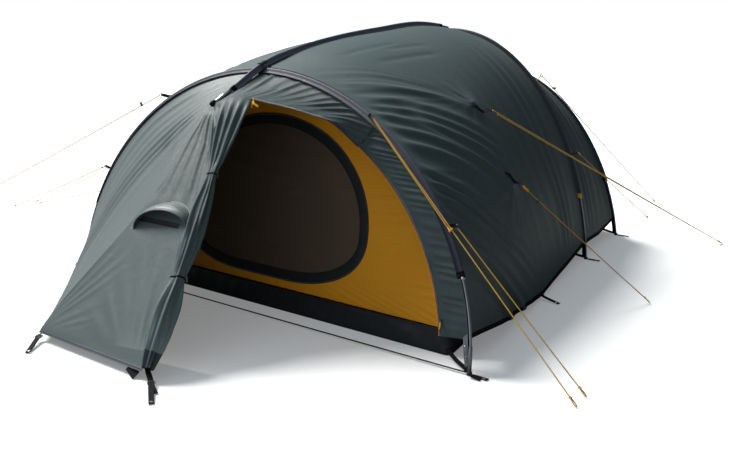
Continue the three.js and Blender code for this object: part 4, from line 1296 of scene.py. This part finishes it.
def rounded_loop(corners, radius, count):
    """A closed loop through corners with rounded turns, as evenly spaced points."""
    pts = []
    n = len(corners)
    for i in range(n):
        p0, p1, p2 = (np.array(corners[(i + k) % n], float) for k in (-1, 0, 1))
        a = p1 + (p0 - p1) / np.linalg.norm(p0 - p1) * radius
        b = p1 + (p2 - p1) / np.linalg.norm(p2 - p1) * radius
        for q in np.linspace(0, 1, 8):
            pts.append((1 - q) ** 2 * a + 2 * q * (1 - q) * p1 + q * q * b)
    pts.append(pts[0])
    loop = np.stack(pts)
    along = np.concatenate([[0], np.cumsum(np.linalg.norm(np.diff(loop, axis=0), axis=1))])
    at = np.linspace(0, along[-1], count, endpoint=False)
    return np.stack([np.interp(at, along, loop[:, k]) for k in (0, 1)], -1), at


def groundsheet():
    def half_width(station):
        s = section(station)
        low = angle_at(s, 0.008)
        return float(on_hoop({**{k: float(q) for k, q in s.items()}, "half": float(s["half"]) - 0.135},
            float(low))[0])
    y0 = FRONT["y"] + 0.108
    right = [(half_width(0) - 0.022, y0), (half_width(0.5), float(section(0.5)["y"])),
        (half_width(1.0), REAR["y"]), (half_width(1.8), 1.430)]
    corners = right + [(-x, y) for x, y in right[::-1]]
    loop, at = rounded_loop(corners, 0.03, 520)
    middle = loop.mean(0)
    inward = middle - loop
    inward /= np.linalg.norm(inward, axis=1, keepdims=True)
    rings = []
    # outside wall from its top hem down, then the floor in rings to the middle
    for k, z in enumerate(np.linspace(0.1, 0.004, 15)):
        ripple = 0.004 * (folds(131, at / 0.09 + (0.1 - z) * 6, 0.6) - 0.4) + 0.003 * noise(132, at * 9,
            z * 20)
        edge = 0.6 if k in (0, 14) else 1.0
        rings.append(np.column_stack([loop + inward * (0.004 + edge * ripple)[:, None],
            np.full(len(loop), z)]))
    for t in np.concatenate([[0.004, 0.012], np.linspace(0.03, 0.995, 44)]):
        q = loop + (middle - loop) * t
        z = 0.0008 + 0.0012 * (1 + noise(133, q[:, 0] * 9, q[:, 1] * 9)) * smooth(t, 0, 0.05)
        rings.append(np.column_stack([q, z]))
    p = np.stack(rings, 1)
    uv = np.stack([np.broadcast_to(at[:, None], p.shape[:2]), lengths(p, 1).mean(0,
        keepdims=True) + 0 * p[..., 0]], -1)
    uv[:, 15:] = p[:, 15:, :2]
    tub = grid_mesh("groundsheet", p, TUB, close=(True, False), thick=0.0008, uv=uv)
    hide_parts("groundsheet_tub")
    rim = swept("groundsheet_seam", np.column_stack([np.concatenate([loop, loop[:1]]),
        np.full(len(loop) + 1, 0.0995)]),
                band_profile(0.003, 0.006), TUB, UP)
    return corners


# ---- straps, feet and guy fittings ------------------------------------------------------------------

WEB_WIDE, WEB_THICK = 0.020, 0.0022
PEG_SLOT = (0.025, 0.009)  # from the strap's end to the slot's far and near ends
ON_GROUND = 0.0016  # height of a strap's middle where it lies on the ground


def cut_out(obj, test):
    """Takes away the faces whose centre passes a test."""
    bm = bmesh.new()
    bm.from_mesh(obj.data)
    gone = [f for f in bm.faces if test(f.calc_center_median())]
    bmesh.ops.delete(bm, geom=gone, context="FACES")
    bm.to_mesh(obj.data)
    bm.free()
    sharp_border(obj.data)


def strap(name, points, up=UP, wide=WEB_WIDE, node=None, slot_from_end=None, material=None, body="tent",
        step=0.0035):
    """Flat webbing through points, with a peg's slot near its end where it has one."""
    line = resample(points, step)
    _, side, out = line_frame(line, up)
    across = np.linspace(-0.5, 0.5, 9) * wide
    p = line[:, None] + across[None, :, None] * side[:, None]
    along = np.concatenate([[0], np.cumsum(np.linalg.norm(np.diff(line, axis=0), axis=1))])
    uv = np.stack(np.broadcast_arrays(along[:, None], across[None, :] + wide / 2), -1)
    p = p + out[:, None] * (0.0003 * np.sin(along * 90))[:, None, None]
    obj = grid_mesh(name, p, material or WEBBING, body, thick=WEB_THICK if wide > 0.012 else 0.0015, uv=uv)
    if slot_from_end:
        end, way, across_way = line[-1], line[-1] - line[-4], side[-1]
        way = way / np.linalg.norm(way)

        def in_slot(c):
            d = np.array(c) - end
            return -slot_from_end[0] < d @ way < -slot_from_end[1] and abs(d @ across_way) < wide * 0.26
        cut_out(obj, in_slot)
    if node:
        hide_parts(node)
    return obj


def stitches(name, at, way, out, wide, rows=3, body="tent"):
    """A bar tack: short rows of thread across a strap."""
    way, out = (np.asarray(v, float) / np.linalg.norm(v) for v in (way, out))
    side = np.cross(out, way)
    t = np.linspace(-0.5, 0.5, 60)
    turns = rows * 2
    x = np.sin(t * math.pi * turns) * 0.5
    line = np.asarray(at) + side * (t * wide * 0.86)[:, None] + way * (x * 0.006)[:, None] + out * 0.0016
    obj = tube(name, line, 0.0009, THREAD, body, sides=5, up=out)
    return obj


def buckle(name, at, way, out, wide=0.026, long=0.022):
    """A ladder-lock: a frame with a bar across its middle."""
    way, out = (np.asarray(v, float) / np.linalg.norm(v) for v in (way, out))
    side = np.cross(out, way)
    at = np.asarray(at, float)
    corners = [(-0.5, -0.5), (0.5, -0.5), (0.5, 0.5), (-0.5, 0.5)]
    loop, _ = rounded_loop([(x * wide, y * long) for x, y in corners], 0.005, 64)
    line = at + loop[:, :1] * side + loop[:, 1:] * way
    tang = np.roll(line, -1, 0) - np.roll(line, 1, 0)
    tang /= np.linalg.norm(tang, axis=1, keepdims=True)
    prof = round_profile(0.0017, 8)
    grid = line[:, None] + prof[None, :, :1] * np.cross(tang, out)[:, None] + prof[None, :, 1:] * out * 1.3
    ring = grid_mesh(name, grid, HARDWARE, close=(True, True), flip=True)
    bar = tube(name + "_bar", [at - side * wide * 0.48 + out * 0.001, at + side * wide * 0.48 + out * 0.001],
        0.0034, HARDWARE, up=out)
    return ring


def ring(name, at, axis, radius=0.008, wire=0.0022, material=None, body="tent"):
    axis = np.asarray(axis, float) / np.linalg.norm(axis)
    side = np.cross(axis, UP if abs(axis[2]) < 0.9 else (1, 0, 0))
    side /= np.linalg.norm(side)
    up = np.cross(side, axis)
    a = np.linspace(0, 2 * math.pi, 40, endpoint=False)
    around = np.cos(a)[:, None] * side + np.sin(a)[:, None] * up
    prof = round_profile(wire / 2, 10)
    grid = np.asarray(at) + radius * around[:, None] + prof[None, :, :1] * around[:, None] + prof[None, :,
        1:] * axis
    obj = grid_mesh(name, grid, material or STEEL, body, close=(True, True), flip=False)
    return obj


def lathe(name, at, axis, profile, material, body="tent", sides=28):
    """A turned piece: profile is (radius, height) pairs along an axis."""
    profile = np.asarray(profile, float)
    line = np.asarray(at) + np.asarray(axis, float) / np.linalg.norm(axis) * profile[:, 1:]
    axis = np.asarray(axis, float) / np.linalg.norm(axis)
    side = np.cross(axis, (1, 0, 0) if abs(axis[0]) < 0.9 else UP)
    side /= np.linalg.norm(side)
    up = np.cross(axis, side)
    a = np.linspace(0, 2 * math.pi, sides, endpoint=False)
    around = np.cos(a)[:, None] * side + np.sin(a)[:, None] * up
    grid = line[:, None] + profile[:, :1, None] * around[None]
    return grid_mesh(name, grid, material, body, close=(False, True), flip=True)


def toggle(name, at, way, material=None, size=0.022, thick=0.008, body="tent"):
    half = size / 2
    shape = [(0.0016, -half), (thick * 0.36, -half), (thick * 0.5, -half * 0.7), (thick * 0.40, 0),
        (thick * 0.5, half * 0.7),
             (thick * 0.36, half), (0.0016, half), (0.0016, -half)]
    obj = lathe(name, at, way, shape, material or ORANGE, body)
    return obj


def pole_feet():
    for side, sign in (("right", 1), ("left", -1)):
        for name, h in (("front", FRONT), ("rear", REAR), ("end", END)):
            foot = np.array([sign * h["half"], h["y"] + h["lean"] / h["high"] * 0.7 * 0.012, 0])
            shape = [(0.0005, 0.0002), (0.0085, 0.0002), (0.0105, 0.0018), (0.0105, 0.0105), (0.0096, 0.012),
                     (0.0082, 0.012), (0.0078, 0.0112), (0.0078, 0.0034), (0.0005, 0.0030)]
            cup = lathe(f"foot_{name}_{side}", foot, UP, shape, HARDWARE)
            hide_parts(f"{name}_{side}_pole_foot")
            out = np.array([sign, 0.0, 0])
            start = np.array([sign * (h["half"] + 0.0108), h["y"], ON_GROUND])
            end = np.array([sign * (h["half"] + 0.080), h["y"], ON_GROUND])
            strap(f"strap_{name}_{side}_foot", [start, end], node=f"{name}_{side}_foot_strap",
                slot_from_end=PEG_SLOT)
            stitches(f"tack_{name}_{side}_foot", start + out * 0.012 + UP * 0.0004, out, UP, 0.020)
            # the tape that runs down inside the bare pole from the sleeve's mouth to the foot
            z = np.linspace(0.345, 0.016, 14)
            pole_at = np.stack([on_hoop(h, angle_at(h, q)) for q in z])
            tape = pole_at * np.array([sign, 1, 1]) + np.array([-sign * 0.017, 0.010, 0])
            tape[-1] = foot + np.array([-sign * 0.013, 0.0, 0.008])
            strap(f"tape_{name}_{side}_foot", tape, up=(0, -1, 0.1), wide=0.019 if name == "front" else 0.016)
            # a collar where the pole leaves its sleeve
            low = on_hoop(h, angle_at(h, 0.338)) * np.array([sign, 1, 1])
            high = on_hoop(h, angle_at(h, 0.352)) * np.array([sign, 1, 1])
            cap = lathe(f"cap_{name}_{side}", low, high - low, [(0.0060, 0), (0.0085, 0.001),
                (0.0085, 0.012), (0.0060, 0.013)], STEEL)
        foot = np.array([sign * FRONT["half"], FRONT["y"], 0])
        tip = on_hoop(FRONT, angle_at(FRONT, 0.012)) * np.array([sign, 1, 1])
        top = on_hoop(FRONT, angle_at(FRONT, 0.105)) * np.array([sign, 1, 1])
        long = float(np.linalg.norm(top - tip))
        shoe = lathe(f"pole_end_{side}", tip, top - tip, [(0.0058, 0), (0.0076, 0.002),
            (0.0076, long - 0.004), (0.0058, long)], POLE)
        # webbing with eyelets beside the foot, and its loose tail
        tie = [top * np.array([1, 1, 0]) + np.array([-sign * 0.030, 0.010, 0.150]),
            foot + np.array([-sign * 0.024, 0.012, 0.085]),
               foot + np.array([-sign * 0.014, 0.010, 0.014])]
        strap(f"eyelet_strap_{side}", tie, up=(0, -1, 0.05), wide=0.020, material=GREY_WEBBING)
        for k, q in enumerate((0.03, 0.06, 0.10)):
            at = foot + np.array([-sign * (0.016 + 0.11 * q), 0.0085, q])
            ring(f"eyelet_{side}_{k}", at, (0, 1, 0), radius=0.0045, wire=0.0024)
        tail = [foot + np.array([sign * 0.006, -0.014, 0.012]),
            foot + np.array([sign * 0.030, -0.022, 0.006]),
            foot + np.array([sign * 0.062, -0.020, ON_GROUND])]
        strap(f"tail_{side}", tail, wide=0.012)


def hem_straps(skin):
    """Webbing along the flysheet's hem, and the straps that peg it out."""
    for side, cols in (("right", slice(0, 3)), ("left", slice(-3, None))):
        strip_on(f"hem_tape_{side}", skin[:, cols], WEBBING, thick=0.0012,
            lift=0.001 if side == "right" else 0.001)
    strip_on("hem_tape_end", skin[-3:, :], WEBBING, thick=0.0012, lift=0.001)
    strip_on("rear_seam", skin[169:172, 8:-8], SLEEVE, thick=0.0009, lift=0.001)
    for side, sign in (("right", 1), ("left", -1)):
        hem = on_skin(0.55, 0.0)
        hem = np.array([sign * abs(hem[0]), hem[1], max(hem[2], 0.012)])
        start, end = hem + np.array([sign * 0.004, 0, 0]), hem + np.array([sign * 0.095, -0.020, 0])
        end[2], start[2] = ON_GROUND, 0.014
        strap(f"strap_mid_{side}_hem", [start + np.array([-sign * 0.010, 0, 0.012]), start, end],
            node=f"mid_{side}_hem_strap", slot_from_end=PEG_SLOT)
        stitches(f"tack_mid_{side}_hem", start + (end - start) * 0.2, end - start, UP, WEB_WIDE)
    middle = skin[-1, skin.shape[1] // 2]
    strap("strap_rear_hem", [middle + np.array([0, -0.012, 0.018]), (0, middle[1] + 0.006, 0.018),
        (0, 1.802, ON_GROUND)], node="rear_hem_strap", slot_from_end=PEG_SLOT)
    strap("strap_vestibule_left", [(-0.338, -1.668, 0.036), (-0.352, -1.682, 0.023),
        (-0.256, -1.795, 0.0018)], node="vestibule_left_strap", slot_from_end=PEG_SLOT)
    strap("strap_vestibule_right", [(0.322, -1.664, 0.062), (0.345, -1.676, 0.036), (0.376, -1.690, 0.018),
        (0.512, -1.793, 0.0018)], node="vestibule_right_strap", slot_from_end=PEG_SLOT)
    buckle("buckle_vestibule_left", (-0.343, -1.692, 0.0215), (0.096, -0.113, -0.022), (0.1, -0.1, 1))
    buckle("buckle_vestibule_right", (0.392, -1.700, 0.0175), (0.140, -0.109, -0.018), (0.1, -0.1, 1))
    # a flap of flysheet cloth that hangs under the front panel's right corner, drawn in black webbing: its black is
    # painted shade
    strap("painted_shade_flap_vestibule_right", [(0.262, -1.668, 0.032), (0.256, -1.680, 0.020), (0.250, -1.690, 0.010)],
        up=(0, -0.9, 0.5), wide=0.060, material=WEBBING)
    strap("tail_vestibule_right", [(0.392, -1.699, 0.020), (0.424, -1.716, 0.013), (0.455, -1.728, 0.003)],
        wide=0.014)
    # ties from the groundsheet's corners to the front feet
    for side, sign in (("right", 1), ("left", -1)):
        tub = np.array([sign * 1.030, -0.792, 0.030])
        foot = np.array([sign * (FRONT["half"] - 0.016), FRONT["y"] + 0.012, 0.012])
        strap(f"corner_tie_{side}", [tub, (tub + foot) / 2 + np.array([0, 0, -0.006]), foot],
            up=(0, -0.6, 1), wide=0.016)
        rear = np.array([sign * (REAR["half"] - 0.10), REAR["y"] + 0.004, 0.020])
        rear_foot = np.array([sign * (REAR["half"] - 0.012), REAR["y"], 0.010])
        strap(f"rear_corner_tie_{side}", [rear, rear_foot], up=(0, -0.4, 1), wide=0.018)
        end_in = np.array([sign * (END["half"] - 0.09), END["y"] + 0.004, 0.022])
        end_foot = np.array([sign * (END["half"] - 0.012), END["y"], 0.010])
        strap(f"end_corner_tie_{side}", [end_in, end_foot], up=(0, -0.4, 1), wide=0.018)
    half = FRONT["half"] - 0.011
    line = np.array([(x, FRONT["y"], 0.008 - 0.002 * math.cos(x * 1.3)) for x in np.linspace(-half, half,
        120)])
    cord = swept("base_cord", line, band_profile(0.009, 0.0035), WEBBING, UP)
    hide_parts("door_base_cord")


def skin_at(s, v):
    """A flysheet point with its folds, and the way out from it."""
    e = 0.003
    base = on_skin(s, v)
    out = np.cross(on_skin(s + e, v) - on_skin(s - e, v), on_skin(s, v + e) - on_skin(s, v - e))
    out /= np.linalg.norm(out)
    if out @ (base - np.array([0, base[1], 0.2])) < 0:
        out = -out
    return base + out * float(skin_height(np.array([[s]]), np.array([[v]]))[0, 0]), out


def REAR_AT(point):
    """The rear hoop's point nearest to a point."""
    a = np.linspace(0.1, math.pi - 0.1, 800)
    line = on_hoop(REAR, a)
    return line[np.linalg.norm(line - point, axis=1).argmin()]


def guy_fittings():
    """The ring and the tape or cord link at each guy line's upper end, with a bar tack on the tapes sewn to the
    flysheet.
    """
    for name, (top, foot) in GUYS.items():
        if name.endswith("_b"):
            continue
        top, foot = np.array(top), np.array(foot)
        way = (foot - top) / np.linalg.norm(foot - top)
        on_pole = name.startswith("front")
        ring("ring_" + name, top - way * 0.006, np.cross(way, UP) + 0.2 * UP, radius=0.0085, wire=0.0026,
            material=HARDWARE)
        if on_pole:
            sign = np.sign(top[0])
            centre = on_hoop(FRONT, angle_at(FRONT, top[2] - 0.004)) * np.array([sign, 1, 1])
            back = top - way * 0.013
            out = back - centre
            out /= np.linalg.norm(out)
            strap("loop_tape_" + name, [centre + out * 0.0105 - way * 0.01, centre + out * 0.013, back],
                up=np.cross(way, (0, 0, 1.0)), wide=0.014)
            continue
        if name.startswith("rear"):
            centre = REAR_AT(top)
            out = top - centre
            out /= np.linalg.norm(out)
            ends = [centre + out * 0.010, (centre + out * 0.012 + top) / 2 + way * 0.004, top - way * 0.012]
            if name.endswith("upper"):
                link_cord = tube("guy_link_" + name, smooth_line(ends), CORD_D, CORD, up=out)
            else:
                strap("guy_tape_" + name, smooth_line(ends), up=np.cross(way, (0, 0, 1.0)), wide=0.010)
            continue
        long = {"mid_right_upper_a": 0.115, "mid_right_lower": 0.085}.get(name, 0.060)
        s0, v0 = skin_place(top)
        s0, v0 = min(s0, 1.97), v0
        _, out = skin_at(s0, v0)
        back = -(way - out * (way @ out))
        back /= np.linalg.norm(back)
        line = [top - way * 0.013]
        for q in np.linspace(0.022, long, 9):
            s, v = skin_place(top + back * q)
            at, n = skin_at(float(np.clip(s, 0.01, 1.97)), float(np.clip(v, 0.004, 0.996)))
            line.append(at + n * 0.0022)
        strap("guy_tape_" + name, smooth_line(line), up=out, wide=0.017)
        heading = line[-1] - line[-3]
        if np.linalg.norm(heading) < 1e-9:
            heading = back
        stitches("guy_tack_" + name, line[-2] + out * 0.0012, heading, out, 0.017)


def smooth_line(points, rounds=3):
    line = resample(points, 0.004)
    for _ in range(rounds):
        line[1:-1] = (line[:-2] + 2 * line[1:-1] + line[2:]) / 4
    return line


def sliders():
    """New colours for the CAD guy sliders, the toggles beside them, and the front right guy's returning strand."""
    for name in ("front_right_upper", "mid_right_lower", "rear_right_upper", "front_left_upper"):
        node = bpy.data.objects.get("guy_slider_" + name)
        if node:
            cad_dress(node, ORANGE if name == "front_right_upper" else HARDWARE)
    a, b = (np.array(q) for q in GUYS["mid_right_lower"])
    toggle("toggle_mid_right_lower", a + (b - a) * 0.028, b - a, size=0.036, thick=0.012)
    a, b = (np.array(q) for q in GUYS["rear_right_lower"])
    toggle("toggle_rear_right_lower", a + (b - a) * 0.018, b - a, size=0.030, thick=0.010)
    a, b = (np.array(q) for q in GUYS["front_left_lower"])
    toggle("toggle_front_left_lower", a + (b - a) * 0.02, b - a, material=HARDWARE, size=0.016)
    # the front right guy's returning strand
    a, b = (np.array(q) for q in GUYS["front_right_upper"])
    way = (b - a) / np.linalg.norm(b - a)
    turn = Vector((0, 0, 1)).rotation_difference(Vector(way))
    aside = np.array(turn @ Vector((1, 0, 0)))
    start = a + aside * 0.0045 + way * 0.006
    stop = a + (b - a) * 0.42 + aside * 0.012 - way * 0.0003
    line = resample([start, stop], 0.02)
    strand = tube("line_front_right_return", line, CORD_D, CORD, sides=10, up=aside)
    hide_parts("guy_front_right_return")
    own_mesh(strand)


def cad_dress(obj, material):
    obj.data.materials.clear()
    obj.data.materials.append(material)


def door_ribbon():
    """The short orange ribbon that hangs from the roof's edge beside the gathered door."""
    hem = roof_edge(160)
    x = 0.185
    top = np.array([x, np.interp(x, hem[:, 0], hem[:, 1]), np.interp(x, hem[:, 0], hem[:, 2]) - 0.002])
    strap("door_ribbon_a", [top, top + np.array([0.012, -0.006, -0.016]),
        top + np.array([0.034, -0.004, -0.026])], up=(0, -1, 0.2), wide=0.008, material=RIBBON)
    strap("door_ribbon_b", [top, top + np.array([0.002, -0.006, -0.018]),
        top + np.array([-0.006, -0.004, -0.034])], up=(0, -1, 0.2), wide=0.008, material=RIBBON)


def peak():
    """The ridge pole's pocket, the patch where it crosses the front hoop, and the webbing at the peak."""
    ridge = ridge_line()
    way = ridge[3] - ridge[0]
    way /= np.linalg.norm(way)
    base = np.array(PEAK) - way * 0.007
    cup = lathe("pocket_cup", base, way, [(0.0005, 0), (0.009, 0.0004), (0.011, 0.003), (0.0112, 0.022),
        (0.0104, 0.024), (0.0074, 0.024), (0.0072, 0.007), (0.0005, 0.006)], WEBBING)
    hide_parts("peak_pocket")
    along = np.concatenate([[0], np.cumsum(np.linalg.norm(np.diff(ridge, axis=0), axis=1))])
    bare = ridge[(along > 0.015) & (along < along[-1] * 0.068)]
    end = lathe("ridge_pole_end", bare[0], bare[-1] - bare[0], [(0.0058, 0), (0.0078, 0.001),
        (0.0078, float(np.linalg.norm(bare[-1] - bare[0])) - 0.001), (0.0058,
        float(np.linalg.norm(bare[-1] - bare[0])))], SHINY)
    cross = np.linalg.norm(ridge - np.array([0, FRONT["y"] + FRONT["lean"], ridge[:, 2].mean()])
        * np.array([1, 1, 0]) - ridge * np.array([0, 0, 1]), axis=1).argmin()
    near = (along > along[cross] - 0.022) & (along < along[cross] + 0.022)
    line = resample(ridge[near], 0.004)
    u = np.linspace(-1, 1, 27)
    drop = np.clip(np.abs(u) - 0.45, 0, None) ** 1.5 * 0.045
    bulge = 0.0125 * np.sqrt(np.clip(1 - (u / 0.42) ** 2, 0, 1))
    prof = np.stack([u * 0.036, bulge - drop + 0.001], -1)
    patch = swept("crossing_patch", line, prof, BAND, UP, closed=False, thick=0.0016)


def main():
    camera()
    stage()
    guy_lines()
    skin = flysheet()
    poles_and_sleeves()
    side_panel()
    roof_strip()
    front_panel()
    vent()
    gathered_door()
    edge_strip()
    front_wall()
    inner_door()
    zips()
    inner_tent()
    groundsheet()
    pole_feet()
    hem_straps(skin)
    guy_fittings()
    sliders()
    peak()
    door_ribbon()


main()
